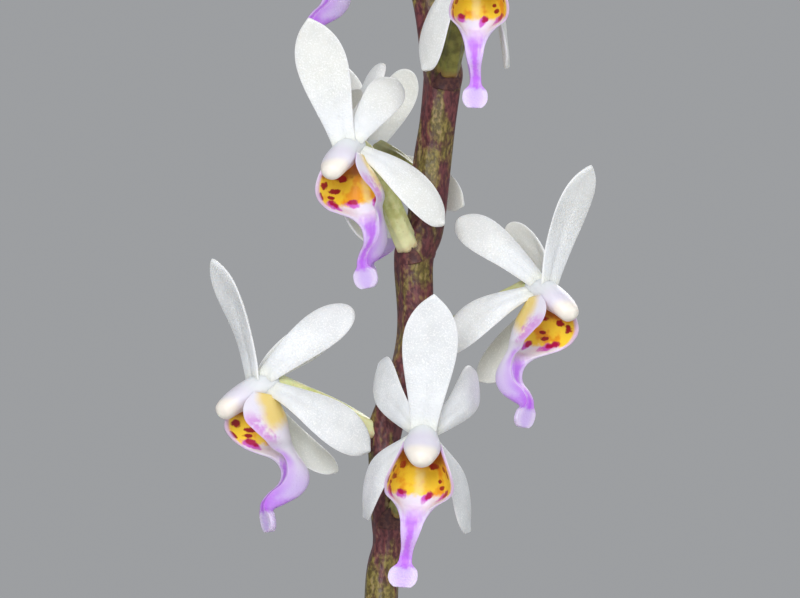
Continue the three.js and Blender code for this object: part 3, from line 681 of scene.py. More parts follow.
# %% Lip surface
LIP_ROWS = [  # forward and up of the back line, forward and up of the rim, half width
    (-1.0, -1.5, 1.15, -1.15, 1.34), (-1.4, -2.2, 2.1, -2.15, 1.72),
    (-1.7, -3.0, 2.3, -3.3, 2.18), (-1.75, -3.85, 1.7, -4.15, 2.44),
    (-1.85, -4.6, 0.85, -4.85, 2.28), (-2.1, -5.2, 0.1, -5.35, 1.62),
    (-2.5, -5.8, -0.9, -5.85, 1.16), (-3.0, -6.45, -1.35, -6.5, 0.86),
    (-3.3, -7.1, -1.35, -7.2, 0.72), (-3.2, -7.9, -0.95, -7.85, 0.58),
    (-2.5, -8.7, -0.15, -8.45, 0.46), (-1.3, -9.3, 0.4, -9.1, 0.44),
    (-0.4, -9.7, 0.5, -9.65, 0.52), (-0.35, -10.1, 0.4, -10.1, 0.95),
    (-0.4, -10.65, 0.3, -10.65, 1.04), (-0.4, -11.05, 0.25, -11.05, 0.88),
    (-0.3, -11.3, 0.2, -11.3, 0.6),
]
LIP_LENGTHWISE, LIP_AROUND = 88, 72
LIP_WALL = 0.32  # mm
U_POWER = 2.2  # how squarely the section's sides stand
LOBE_TOP, MOUTH_END = -9.6, -4.6  # heights in the flower's axes, mm


def lip_shell(sway, slim):
    """A U-shaped section carried down the lip. Across the share v from rim to rim, the lateral
    place is half times sin(v pi/2), and |v|^U_POWER leads from the back line to the rim. The
    inner side lies a wall's thickness inside and meets the outer one in a rounded rim. The part
    below the mouth swings sideways by the sway, in mm, and slim scales the width."""
    rows = smooth_rows(LIP_ROWS, LIP_LENGTHWISE)
    back_f, back_u, rim_f, rim_u, half = (rows[:, i : i + 1] for i in range(5))
    turning = LIP_AROUND // 2
    v = -np.cos(np.pi * np.arange(turning + 1) / turning)[None, :]
    depth = np.hypot(rim_f - back_f, rim_u - back_u)
    above_lobe = 0.15 + 0.85 / (1 + np.exp(-(back_u - LOBE_TOP) * 6))
    hollow = np.clip((half - 0.85) / 0.65, 0.03, 1) * above_lobe  # the narrow keel is filled

    def layer(inner):
        low = inner * (1 - hollow * (1 - LIP_WALL / depth))
        wide = half - inner * np.minimum(LIP_WALL, half * 0.6)
        share = low + (1 - low) * np.abs(v) ** U_POWER
        forward = back_f + (rim_f - back_f) * share
        up = back_u + (rim_u - back_u) * share
        return np.stack([wide * np.sin(v * np.pi / 2), -forward, up], axis=-1)

    outer, inner = layer(0), layer(1)
    rounding = np.sqrt(np.maximum(0, 1 - np.abs(v) ** 16))[..., None]
    inner = outer + (inner - outer) * rounding
    points = np.concatenate([outer, inner[:, -2:0:-1]], axis=1)
    x, y, z = np.moveaxis(points, -1, 0)
    inside = np.repeat([0.0, 1.0], [turning + 1, turning - 1])[None, :]
    side = np.concatenate([v, v[:, -2:0:-1]], axis=1)
    swing = sway * np.clip((MOUTH_END - z) / 6, 0, 1) ** 0.7
    points = points * (slim, 1, 1) + swing[..., None] * np.array([1, 0, 0])
    place, sides = vectors(x, z, -y), vectors(inside, np.abs(side), side)
    return {"points": points, "lip": place, "lip_side": sides}


# %% Lip finish
MOUTH_SPOTS = [  # share from side to side, height, half width and half height
    (-0.7, -3.55, 0.12, 0.22), (0.5, -3.65, 0.07, 0.16), (0.56, -4.1, 0.09, 0.18),
    (-0.55, -2.65, 0.15, 0.28), (0.4, -2.6, 0.2, 0.24), (0.9, -3.3, 0.05, 0.35),
    (-0.89, -3.1, 0.06, 0.3), (-0.8, -4.0, 0.07, 0.16), (0.78, -2.9, 0.07, 0.25),
    (-0.96, -3.9, 0.03, 0.3),
]
MOUTH_BLOTS = [  # the same for the larger blots along the mouth's lower edge
    (-0.42, -4.55, 0.17, 0.26), (0.25, -4.7, 0.12, 0.36), (-0.84, -4.5, 0.1, 0.42),
    (0.76, -4.6, 0.14, 0.36),
]
PALE, LILAC, VIOLET = (0.84, 0.80, 0.92), (0.62, 0.42, 0.90), (0.50, 0.12, 0.84)
DARK_RED, CRIMSON, PURPLE = (0.34, 0.005, 0.012), (0.45, 0.0, 0.08), (0.60, 0.05, 0.60)


class LipFinish(Finish):
    """The lip's finish: it reads each point's place on the lip, and two noises fray its edges."""

    def __init__(self):
        super().__init__("lip_painted", Subsurface_Weight=0.25, Subsurface_Scale=0.0006,
                         Subsurface_Radius=(1.0, 0.7, 0.8), IOR=1.42)
        self.across, self.up, self.forward = self.parts(self.named("lip"))
        self.inside, self.rim, self.side = self.parts(self.named("lip_side"))
        self.ragged, self.soft = self.noise(0.35, 2) - 0.5, self.noise(1.3, 2) - 0.5
        self.edge = self.up + self.ragged * 0.5

    def blot(self, v, u, wide, high, blur=0.35):
        """1 inside an oval blot about the share v from side to side and the height u."""
        far = ((self.side - v) / wide) ** 2 + ((self.up - u) / high) ** 2 + self.ragged * 2.2
        return self.step(far, 0.85 + blur, 0.85 - blur)

    def mouth(self):
        """A golden, spotted mouth, a white apron and a violet tongue that narrows down the keel."""
        edge, ragged = self.edge, self.ragged
        bright = self.step(self.soft + ragged * 0.3, -0.17, 0.04)
        # painted highlight: a pale stripe down the middle of the mouth, as light on its ridge
        ridge_highlight = self.step(abs(self.across) + ragged * 0.3, 0.5, 0.1) * self.step(edge, -2.6, -3.2)
        gold = self.mix((0.88, 0.36, 0.012), (1.0, 0.68, 0.04), bright)
        gold = self.mix(gold, (1.0, 0.86, 0.40), ridge_highlight * 0.55)
        color = self.coats(
            self.mix(PALE, (0.68, 0.52, 0.90), self.step(self.up, -5.8, -7.4)),
            (gold, self.step(edge, -4.85, -4.5)),
            ((0.30, 0.02, 0.01), self.step(edge, -2.9, -2.3) * 0.8),  # shade under the cap
            *((DARK_RED, self.blot(*spot)) for spot in MOUTH_SPOTS),
        )
        for v, u, wide, high in MOUTH_BLOTS:
            halo = self.blot(v - 0.02, u - 0.14, wide, high * 1.1, 0.6) * 0.9
            core = self.blot(v + 0.02, u + 0.05, wide * 0.8, high * 0.8, 0.6)
            color = self.coats(color, (PURPLE, halo), (CRIMSON, core))
        narrowing = self.step(self.up, -5.4, -7.6, 1.15, 0.3)
        streaks = self.noise(0.22, 2, self.stretched(1, 1, 0.12)) - 0.5
        tongue = self.step(abs(self.across) / narrowing + ragged * 0.5 + streaks * 1.2, 1.4, 0.2)
        tongue = tongue * self.step(edge + (self.across**2) * 0.3, -5.0, -6.7)
        line = self.step(self.rim, 0.95, 0.985) * self.step(self.up, -6, -5)
        return self.coats(
            color,
            (VIOLET, tongue * self.step(edge, -10.3, -9.8) * 0.85),
            ((0.66, 0.44, 0.82), line * 0.8),
        )

    def outside(self):
        """Lilac-white walls, a golden hump, magenta by the mouth and violet on the keel's front."""
        up, edge, rim, forward, soft = self.up, self.edge, self.rim, self.forward, self.soft
        hump = self.step(edge + forward * 0.5, -4.7, -3.4) * self.step(forward + soft, 1.3, 0.2)
        front = self.step(rim + soft * 0.25, 0.72, 1.0) * self.step(edge, -4.9, -5.9)
        faded = self.step(up, -5.9, -7.0, 0.75, 0.3) + self.step(up, -7.6, -8.8) * 0.35
        near_rim = self.step(rim + self.ragged * 0.5, 0.74, 0.97) * self.step(up, -2.4, -3.6)
        near_rim = near_rim * self.step(up, -5.4, -4.6)
        return self.coats(
            self.mix(PALE, LILAC, self.step(up + soft, -5.0, -9.0) * 0.75),
            ((0.90, 0.66, 0.15), hump * 0.9),
            (VIOLET, front * faded),
            ((0.60, 0.13, 0.66), near_rim * (1 - front) * 0.7),
        )

    def whole(self):
        """Both sides, the violet neck, the pale end lobe and a light line on the rim."""
        edge, rim = self.edge, self.rim
        neck = self.step(edge, -8.6, -9.3) * self.step(edge, -10.2, -9.7)
        lobe = self.step(edge, -9.75, -10.15)
        color = self.coats(
            self.mix(self.outside(), self.mouth(), self.inside),
            (VIOLET, neck * 0.6),
            ((0.66, 0.50, 0.90), lobe * 0.9),
            ((0.84, 0.76, 0.95), lobe * self.step(rim, 0.1, 1.0) * 0.6),
            ((0.86, 0.80, 0.94), self.step(rim, 0.95, 1.0) * self.step(self.up, -7, -5.5) * 0.3),
        )
        relief = self.noise(0.14, 3) * 0.8 + self.soft * 0.6
        return self.finish(color, self.step(self.ragged, -0.2, 0.2, 0.32, 0.46), relief, 0.03)


LIP_PAINTED = LipFinish().whole()
print("finish", LIP_PAINTED.name)

# %% [markdown]
# ## Pedicels
#
# Each flower hangs on a short green stalk, the pedicel with the ovary, which has six low ribs that
# twist as it grows. It rises from its node and turns in to the flower's back, a cubic curve that
# uses the same four points as the solid.

# %% Rachis line and pedicels
RACHIS = np.array([  # x, y, height above BLOOM_Z, radius
    (5.0, 0.72, -96, 1.0), (4.5, -0.9, -92.6, 1.3), (2.4, -4.9, -84, 1.3), (0.4, -6.0, -70, 1.27),
    (-1.0, -4.3, -50, 1.25), (-1.5, -1.5, -32, 1.24), (-1.36, 0, -21.3, 1.22),
    (-0.88, 0, -18.1, 1.1), (-0.96, -0.1, -15.9, 1.12), (-1.18, 0, -11.8, 1.12),
    (-1.1, 0.1, -9.5, 1.24), (-0.15, 0, -6.8, 1.16), (0.81, 0.1, -4.2, 1.24),
    (1.18, 0, -1.4, 1.32), (1.0, -0.1, 2.5, 1.43), (1.18, -0.2, 3.8, 1.48), (1.84, 0, 5.4, 1.37),
    (2.4, 0.2, 10.1, 1.38), (2.76, 0, 12.8, 1.32), (3.08, -0.1, 15.5, 1.38),
    (3.16, -0.2, 16.7, 1.45), (2.76, 0, 18.6, 1.34), (2.2, 0.1, 22, 1.28), (1.5, 0, 24.9, 1.27),
    (1.8, 0.1, 28.6, 1.1), (2.35, 0.2, 31.5, 1.13), (2.05, 0, 35.2, 0.98),
    (1.5, -0.1, 37.8, 0.98), (1.8, 0, 41.8, 0.8), (2.3, 0.1, 44.6, 0.72), (1.9, 0, 47.4, 0.6),
    (2.2, 0, 49.6, 0.45),
])
PEDICEL_ROWS, PEDICEL_SIDES = 56, 36
SUNK_TO = 0.7  # share of the stalk's radius where pedicels and buds start


def rachis_at(height):
    """The stalk's middle and radius at a height above BLOOM_Z, by straight mixing."""
    x, y, radius = (np.interp(height, RACHIS[:, 2], RACHIS[:, i]) for i in (0, 1, 3))
    return np.array([x, y, BLOOM_Z + height]), radius


def pedicel_shell(flower):
    """A twisting six-ribbed tube from the node to the flower's back, on the cubic curve
    (1-t)³ start + 3(1-t)² t rising + 3(1-t) t² behind + t³ end."""
    flower_end, behind = placed([[0, 1.0, -0.4], [0, 4.2, -1.5]], flower)
    point, radius = rachis_at(flower["node"])
    out = unit((flower_end - point) * (1, 1, 0))
    start = point + out * radius * SUNK_TO + (flower["leaves"], 0, 0)
    climb = 0.38 * (flower_end[2] - start[2])
    rising = start + out * (1.6 + radius * 0.4) + (0, 0, climb)
    t = np.linspace(0, 1, PEDICEL_ROWS)[:, None]
    path = (1 - t) ** 3 * start + 3 * (1 - t) ** 2 * t * rising
    path = path + 3 * (1 - t) * t**2 * behind + t**3 * flower_end
    size = np.interp(t[:, 0], [0, 0.12, 0.5, 0.85, 1], [0.86, 0.8, 0.72, 0.72, 0.8])
    shell = tube(path, size, PEDICEL_SIDES, np.cross(out, (0, 0, 1)),
                 ridges=lambda angle, share: 1 + 0.07 * np.cos(6 * angle + 9 * share))
    return {**shell, "share": t, "olive": flower["olive"]}


def pedicel_finish():
    paint = Finish("pedicel_green", Subsurface_Weight=0.2, Subsurface_Scale=0.0008, IOR=1.45)
    share = paint.named("share", "Fac")
    mottle = paint.noise(0.8, 3)
    patches = paint.step(mottle, 0.35, 0.65)
    fresh_and_lit = paint.mix((0.58, 0.60, 0.20), (0.76, 0.78, 0.40), patches)
    # painted light: paler towards the node, where the pedicel's foot faces the light
    fresh_and_lit = paint.mix(fresh_and_lit, (0.84, 0.82, 0.52), paint.step(share, 0.35, 0.05) * 0.7)
    aged_and_shaded = paint.mix((0.13, 0.12, 0.02), (0.27, 0.26, 0.05), patches)
    green = paint.coats(
        # olive: dark olive, partly the pedicel's own colour and partly painted shade where it lies in shade
        paint.mix(fresh_and_lit, aged_and_shaded, paint.named("olive", "Fac")),
        ((0.24, 0.17, 0.05), paint.step(paint.noise(0.4, 2), 0.62, 0.75) * 0.3),
        ((0.74, 0.76, 0.48), paint.step(share, 0.7, 1.0) * 0.35),  # paler by the flower
        ((0.40, 0.10, 0.05), paint.step(share, 0.06, 0.01) * 0.35),  # redder at the node
    )
    return paint.finish(green, 0.36, mottle + paint.noise(0.12, 2) * 0.4, 0.03)


PEDICEL_GREEN = pedicel_finish()
print("finish", PEDICEL_GREEN.name)

# %% Put the ten flowers together
for number, (letter, flower) in enumerate(FLOWERS.items()):
    shells = [{**shell, "cream": flower["cream"]} for shell in tepal_shells(flower, number * 5)]
    shells.append({**column_shell(), "finish": 1})
    boat = lip_shell(flower["sway"], flower["slim"])
    for shell in (*shells, boat):
        shell["points"] = placed(shell["points"], flower)
    make_piece(f"sepals_petals_{letter}", shells, [TEPAL_WHITE, COLUMN_LAVENDER], "tepal",
               [f"perianth_{letter}"])
    make_piece(f"lip_boat_{letter}", [boat], [LIP_PAINTED], "lip", [f"lip_{letter}"])
    make_piece(f"flower_stalk_{letter}", [pedicel_shell(flower)], [PEDICEL_GREEN], "pedicel",
               [f"pedicel_{letter}"])
print("flowers", len(FLOWERS))

# %% [markdown]
# ## The flower spike's stalk
#
# The rachis is thick for such a small plant, maroon and olive in lengthwise streaks, and it bends
# a little at each node. A small dark bract clasps it under every flower. The stalk is one long
# tube with low ribs, and each bract is a blade that hugs it.

# %% Rachis and bracts
RACHIS_ROWS, RACHIS_SIDES = 420, 40
BRACT_ROWS, BRACT_SIDES = 22, 28
BARE_BRACTS = (-62, -36)  # heights of the two bracts below the flowers


def rachis_shell():
    """A tube along the stalk's line, with seven low uneven ribs and a rounded top."""
    rows = smooth_rows(RACHIS, RACHIS_ROWS)
    path = rows[:, :3] + (0, 0, BLOOM_Z)

    def ribs(angle, share):
        return (1 + 0.035 * np.cos(7 * angle + 5 * np.sin(9 * share))
                + 0.02 * np.cos(3 * angle + 40 * share))

    return tube(path, domed(rows[:, 3], path), RACHIS_SIDES, ridges=ribs)


def bract_shell(node, out):
    """A pointed scale that follows the stalk's round. At share t and angle a it reaches round by
    (0.85(1 - t^1.6) + 0.05) cos a and stands 0.3t² and half a thickness off the stalk."""
    point, radius = rachis_at(node)
    t = np.linspace(0, 1, BRACT_ROWS)[:, None]
    angle = circle_angles(BRACT_SIDES)
    v = np.cos(angle)
    turn = (0.85 * (1 - t**1.6) + 0.05) * v
    reach = radius * (0.97 + 0.08 * t) + 0.3 * t**2 + 0.11 * np.sin(angle) * (1.05 - t)
    height = -1.6 + 1.7 * t + 0.25 * v**2 * (1 - t)
    axes = np.array([out, np.cross(out, (0, 0, 1)), (0, 0, 1)])
    points = point + vectors(reach * np.cos(turn), reach * np.sin(turn), height) @ axes
    return {"points": points, "finish": 1}


def rachis_finish():
    paint = Finish("rachis_maroon", IOR=1.45)
    streaks = paint.noise(0.9, 4, paint.stretched(1, 1, 0.22), 0.6)
    fleck = paint.noise(0.26, 3, paint.stretched(1, 1, 0.6))
    patches = paint.noise(4.0, 3)
    maroon = paint.mix((0.065, 0.014, 0.020), (0.16, 0.042, 0.045), paint.step(fleck, 0.36, 0.64))
    olive = paint.mix((0.095, 0.075, 0.015), (0.24, 0.205, 0.04), paint.step(fleck, 0.4, 0.66))
    share = paint.step(streaks * 0.7 + patches * 0.7 + fleck * 0.2 - 0.28, 0.52, 0.68)
    color = paint.coats(
        maroon,
        (olive, share * 0.85),
        ((0.36, 0.22, 0.17), paint.step(fleck * streaks, 0.34, 0.42) * 0.35),
    )
    return paint.finish(color, paint.step(fleck, 0.3, 0.7, 0.38, 0.55), fleck + streaks * 1.5, 0.05)


def bract_finish():
    paint = Finish("bract_dark", IOR=1.45)
    fleck = paint.noise(0.3, 3)
    color = paint.mix((0.055, 0.014, 0.017), (0.12, 0.042, 0.03), paint.step(fleck, 0.4, 0.65))
    return paint.finish(color, 0.5, fleck, 0.04)


shells = [rachis_shell()]
for flower in FLOWERS.values():
    point, _ = rachis_at(flower["node"])
    out = unit((np.array(flower["at"]) + (0, 0, BLOOM_Z) - point) * (1, 1, 0))
    shells.append(bract_shell(flower["node"] + 0.2, out))
for height in BARE_BRACTS:
    shells.append(bract_shell(height + 0.6, heading(height * 3)))
make_piece("spike_stalk", shells, [rachis_finish(), bract_finish()], "rachis", ["rachis"])
print("bracts", len(shells) - 1)

# %% [markdown]
# ## Buds
#
# The youngest flowers at the tip are still closed: pale egg-shaped buds with the edges of the
# sepals showing as soft seams. A bud is a swelling tube whose three seams are shallow grooves.

# %% Buds
BUDS = [  # height of the node, heading in degrees, length
    (41.6, 70, 6.4), (44.2, -70, 5.6), (46.2, 160, 4.6), (47.8, 20, 3.8), (49.2, -110, 3.0),
]
BUD_EGG = [  # share of the egg's length, radius in a bud of length BUD_FULL
    (0.15, 0.9), (0.35, 1.35), (0.6, 1.45), (0.82, 1.0), (0.95, 0.55), (1, 0.25),
]
BUD_FULL, BUD_ROWS, BUD_SIDES = 6, 48, 36


def bud_shell(node, yaw, length):
    """A thin foot and an egg on one line that rises outwards; three grooves run lengthwise."""
    point, radius = rachis_at(node)
    out = heading(yaw)
    start = point + out * radius * SUNK_TO
    neck = start + out * (length * 0.45 + radius * 0.4 + 0.8) + np.array([0, 0, length]) * 0.35
    aim = unit(out * 0.75 + (0, 0, 0.66))
    foot = [(*start, 0.6), (*(start + (neck - start) * 0.5), 0.5), (*neck, 0.5)]
    egg = [(*(neck + aim * length * share * 0.8), size * length / BUD_FULL)
           for share, size in BUD_EGG]
    rows = smooth_rows(foot + egg, BUD_ROWS)
    path, radii = rows[:, :3], np.maximum(rows[:, 3], 0.04)

    def grooves(angle, share):
        return 1 - 0.05 * np.exp(-((np.sin(1.5 * angle) / 0.16) ** 2))

    shell = tube(path, radii, BUD_SIDES, np.cross(out, (0, 0, 1)), ridges=grooves)
    return {**shell, "share": np.linspace(0, 1, BUD_ROWS)[:, None]}


def bud_finish():
    paint = Finish("bud_pale", Subsurface_Weight=0.2, Subsurface_Scale=0.0008, IOR=1.42)
    share = paint.named("share", "Fac")
    color = paint.mix((0.50, 0.52, 0.18), (0.80, 0.82, 0.62), paint.step(share, 0.25, 0.6))
    color = paint.mix(color, (0.78, 0.70, 0.80), paint.step(share, 0.85, 1.0) * 0.4)
    return paint.finish(color, 0.4, paint.noise(0.15, 3), 0.03)


BUD_PALE = bud_finish()
for i, (node, yaw, length) in enumerate(BUDS, start=1):
    make_piece(f"flower_bud_{i}", [bud_shell(node, yaw, length)], [BUD_PALE], "bud", [f"bud_{i}"])
print("buds", len(BUDS))

# %% [markdown]
# ## Stem and leaves
#
# The stem is wrapped in the dry feet of old leaves. The leaves stand in two rows, fold round the
# stem at the foot, arch over and bend sideways like a sickle, and end in two uneven lobes. A leaf
# is a lens-shaped section carried along an arc that is summed up from its headings.

# %% Stem
STEM = dict(x=5.0, y=4.0, bottom=52.0, top=116.0, wide=3.0, deep=2.1, sheaths=8)
STEM_ROWS, STEM_SIDES = 300, 60


def stem_share(z):
    """The stem's size at a height: it tapers, and each sheath flares up to its lip."""
    t = (z - STEM["bottom"]) / (STEM["top"] - STEM["bottom"])
    sheath = (t * STEM["sheaths"]) % 1
    return (1.0 - 0.22 * t) * (0.92 + 0.16 * sheath**1.4)


def stem_shell():
    """A flattened tube that flares at each sheath and closes round at the top."""
    z = np.linspace(STEM["bottom"], STEM["top"] - 0.4, STEM_ROWS)
    path = vectors(STEM["x"], STEM["y"], z)
    radius = domed(stem_share(z) * STEM["wide"], path, 0.2)
    return tube(path, radius, STEM_SIDES, flat=STEM["deep"] / STEM["wide"],
                ridges=lambda angle, share: 1 + 0.02 * np.cos(17 * angle))


def stem_finish():
    paint = Finish("stem_sheaths", IOR=1.45)
    fibres = paint.noise(0.5, 3, paint.stretched(1, 1, 0.06))
    _, _, along = paint.parts(paint.named("place"))
    green = paint.mix((0.10, 0.15, 0.03), (0.22, 0.28, 0.07), paint.step(fibres, 0.4, 0.7))
    dry = paint.mix((0.16, 0.10, 0.05), (0.42, 0.32, 0.18), paint.step(fibres, 0.35, 0.65))
    color = paint.mix(dry, green, paint.step(along + paint.noise(6, 2) * 12, 24, 40))
    return paint.finish(color, 0.55, fibres, 0.15)


make_piece("leafy_stem", [stem_shell()], [stem_finish()], "stem", ["stem"])

# %% Leaves
LEAF_KEYS = ("side", "base", "length", "half", "rise", "fall", "sickle", "turn")
LEAF_NUMBERS = [  # heights, lengths and half widths in mm, the last four in degrees
    (-1, 72, 62, 7.4, 32, -40, 26, 14),
    (1, 77, 70, 8.0, 36, -44, -24, -8),
    (-1, 83, 84, 8.8, 44, -44, 22, -14),
    (1, 89, 88, 9.2, 48, -42, -26, 12),
    (-1, 95, 80, 8.8, 54, -30, 24, 10),
    (1, 101, 70, 8.0, 58, -18, -20, -12),
    (-1, 107, 52, 6.4, 62, 4, 16, -4),
]
LEAVES = [dict(zip(LEAF_KEYS, numbers)) for numbers in LEAF_NUMBERS]
LEAF_THICKNESS = 0.9  # mm
LEAF_RINGS, LEAF_SIDES = 90, 56
LOBES_FROM = 0.93  # share of the leaf where its two end lobes part


def leaf_line(leaf, t):
    """A leaf's middle line and its direction at the shares t. The heading and climb change evenly
    along it, and their steps are summed."""
    turn = leaf["turn"] + leaf["side"] * leaf["sickle"] * t
    turn = np.radians((0 if leaf["side"] > 0 else 180) + turn)
    climb = np.radians(leaf["rise"] + (leaf["fall"] - leaf["rise"]) * t)
    along = vectors(np.cos(climb) * np.cos(turn), np.cos(climb) * np.sin(turn), np.sin(climb))
    steps = (along[1:] + along[:-1]) / 2 * (leaf["length"] / (len(t) - 1))
    foot_x = STEM["wide"] * stem_share(leaf["base"]) * 0.96
    foot = np.array([STEM["x"] + leaf["side"] * foot_x, STEM["y"], leaf["base"] - 0.5])
    return foot + np.concatenate([[[0, 0, 0]], np.cumsum(steps, axis=0)]), along


def leaf_shell(leaf, number):
    """A channelled blade. At share t and angle a, with v = cos a, its point is line(t) + wide
    (h v) + up (fold + clasp + wave + (veins + thick) sin a) + along (lobe), where the half width
    is h = half (0.26(1-t) + 0.3t² + 0.82 sin(pi t^0.85)^0.8)."""
    t = np.linspace(0, 1, LEAF_RINGS)
    centre, along = leaf_line(leaf, t)
    wide = unit(np.cross((0, 0, 1), along))
    up = np.cross(along, wide)
    angle = circle_angles(LEAF_SIDES)
    v = np.cos(angle)
    t = t[:, None]
    h = leaf["half"] * (0.26 * (1 - t) + 0.3 * t**2 + 0.82 * np.sin(np.pi * t**0.85) ** 0.8)
    fold = (0.55 - 0.42 * t) * np.sqrt((v * h) ** 2 + 0.5) - 0.3
    clasp = 0.9 * np.abs(v) ** 2 * h * np.exp(-t / 0.05)
    wave = 0.07 * leaf["half"] * np.sin(2 * np.pi * (2.5 * t + 0.13 * leaf["base"])) * v * np.abs(v)
    veins = 0.05 * np.cos(22 * v + number) * np.sin(np.pi * t)
    thick = LEAF_THICKNESS / 2 * (1 - 0.45 * v**2) * np.minimum(1, (1 - t) / 0.03 + 0.2)
    lift = fold + clasp + wave + (veins + thick) * np.sin(angle)
    end = np.clip((t - LOBES_FROM) / (1 - LOBES_FROM), 0, 1) ** 2 * leaf["length"]
    lobe = end * np.where(v > 0, 0.05 * v, -0.12 * v * (v + 1) - 0.035)
    lobe = lobe - end * 0.03 * np.exp(-((v / 0.12) ** 2))
    points = centre[:, None] + (h * v)[..., None] * wide[:, None] + lift[..., None] * up[:, None]
    points = points + lobe[..., None] * along[:, None]
    return {"points": points, "leaf": vectors(v * h, t, np.sin(angle))}


def leaf_finish():
    paint = Finish("leaf_green", IOR=1.46)
    across, share, top = paint.parts(paint.named("leaf"))
    mottle, pores = paint.noise(5.0, 3), paint.noise(0.5, 3)
    lines = paint.node("ShaderNodeMath", {"operation": "SINE"}, {0: across * 5.5})
    rib = paint.step(abs(across), 0.45, 0.1)
    upper = paint.mix((0.055, 0.115, 0.020), (0.13, 0.22, 0.045), paint.step(mottle, 0.3, 0.7))
    upper = paint.mix(upper, (0.17, 0.27, 0.06), paint.step(lines, 0.5, 1.0) * 0.25)
    under = paint.mix((0.20, 0.27, 0.10), (0.27, 0.33, 0.14), paint.step(pores, 0.4, 0.6))
    green = paint.coats(
        under,
        (upper, paint.step(top, -0.05, 0.05)),
        ((0.25, 0.34, 0.11), rib * 0.5),
        ((0.36, 0.34, 0.12), paint.step(share, 0.06, 0.0) * 0.6),  # yellow foot
        ((0.26, 0.13, 0.05), paint.step(share + mottle * 0.05, 0.985, 1.03)),  # dry tip
    )
    relief = lines * 0.4 + pores * 0.6 - rib * 2
    return paint.finish(green, paint.step(pores, 0.3, 0.7, 0.3, 0.42), relief, 0.05)


LEAF_GREEN = leaf_finish()
for i, leaf in enumerate(LEAVES, start=1):
    make_piece(f"sickle_leaf_{i}", [leaf_shell(leaf, i)], [LEAF_GREEN], "leaf", [f"leaf_{i}"])
print("leaves", len(LEAVES))

# %% [markdown]
# ## Roots
#
# Thick aerial roots leave the foot of the stem, run over the bark and dive into it; one climbs over
# the rim. Their skin is silver-grey when dry and green at the growing tip. Each is a tube along a
# smoothed line, a little uneven in thickness, and a knot joins them under the stem.

# %% Roots
ROOTS = [  # radius and knots, mm
    (1.7, [(6, 2, 70), (14, -7, 69.4), (21, -15, 70.4), (27, -21, 73.8), (32, -25.5, 75.6),
           (35.8, -28.8, 72), (35.6, -28.6, 62), (32.6, -26.2, 54), (30.6, -24.4, 44)]),
    (1.6, [(4, 2, 70), (-5, -9, 70.6), (-12, -17, 68.6), (-16, -20.5, 62), (-16.5, -21, 56)]),
    (1.5, [(3, 5, 70), (-9, 9, 71), (-17, 14, 69), (-21, 16.5, 62), (-21.5, 17, 56)]),
    (1.5, [(7, 6, 70), (11, 14, 70.8), (11.5, 21, 68.6), (10.5, 25.5, 61), (10.5, 26, 56)]),
]
ROOT_ROWS, ROOT_SIDES = 150, 32
CROWN = dict(z=70.0, wide=4.9, deep=4.2, high=2.0, shrunk=0.93)
CROWN_ROWS, CROWN_SIDES, CROWN_GAP = 30, 40, 0.02  # the gap at each pole is in radians


def root_shell(radius, knots, number):
    """A tube along the smoothed knots; slow waves thicken and thin it, and its end is round."""
    path = smooth_rows(knots, ROOT_ROWS)
    t = np.linspace(0, 1, ROOT_ROWS)
    uneven = 1 + 0.03 * np.sin(23 * t + number) + 0.02 * np.sin(61 * t)
    size = radius * (1.04 - 0.36 * t**3) * uneven
    shell = tube(path, domed(size, path), ROOT_SIDES, (0.3, 0.8, 0.52),
                 ridges=lambda angle, share: 1 + 0.02 * np.cos(5 * angle + 31 * share))
    return {**shell, "share": t[:, None]}


def crown_shell():
    """An egg-shaped knot: circles of latitude whose radius is the cosine of their height."""
    a = np.linspace(-np.pi / 2 + CROWN_GAP, np.pi / 2 - CROWN_GAP, CROWN_ROWS)[:, None]
    b = circle_angles(CROWN_SIDES)
    size = CROWN["shrunk"] * (1 + 0.06 * np.cos(3 * b + 2 * a) + 0.03 * np.cos(7 * b)) * np.cos(a)
    x = STEM["x"] + CROWN["wide"] * size * np.cos(b)
    y = STEM["y"] + CROWN["deep"] * size * np.sin(b)
    return {"points": vectors(x, y, CROWN["z"] + CROWN["high"] * np.sin(a)), "share": 0.0}


def root_finish():
    paint = Finish("root_silver", IOR=1.4)
    share = paint.named("share", "Fac")
    skin = paint.noise(0.6, 4, rough=0.6)
    tip = paint.mix((0.16, 0.30, 0.06), (0.45, 0.18, 0.12), paint.step(share, 0.985, 1.0) * 0.6)
    color = paint.coats(
        paint.mix((0.36, 0.37, 0.31), (0.58, 0.58, 0.52), paint.step(skin, 0.35, 0.65)),
        ((0.25, 0.30, 0.15), paint.step(paint.noise(5.0, 2), 0.52, 0.68) * 0.6),  # green patches
        (tip, paint.step(share, 0.93, 0.955)),
    )
    return paint.finish(color, 0.75, skin, 0.12)


shells = [crown_shell()]
shells += [root_shell(radius, knots, i) for i, (radius, knots) in enumerate(ROOTS)]
make_piece("aerial_roots", shells, [root_finish()], "root", ["roots"])
print("roots", len(ROOTS))

# %% [markdown]
# ## Bark
#
# Orchids are potted in pieces of bark. Each chip is a worn block: a ball pushed towards a box,
# roughened by slow waves, then turned and dropped on the bed. All chips are one array, so a few
# hundred of them cost one mesh.

# %% Bark chips
POT = dict(height=72.0, base=29.0, top=38.0, rim=41.5, rim_height=13.0, wall=4.0, floor=5.0)
BARK_TOP = 64.0
CHIP_COUNT, CHIP_SEED = 230, 5
CHIP_ROWS, CHIP_SIDES, CHIP_GAP = 9, 14, 0.04
GOLDEN_TURN = np.pi * (3 - np.sqrt(5))


def pot_outside(z):
    """The pot wall's outer radius at a height, from base to top by straight mixing."""
    return POT["base"] + (POT["top"] - POT["base"]) * z / POT["height"]


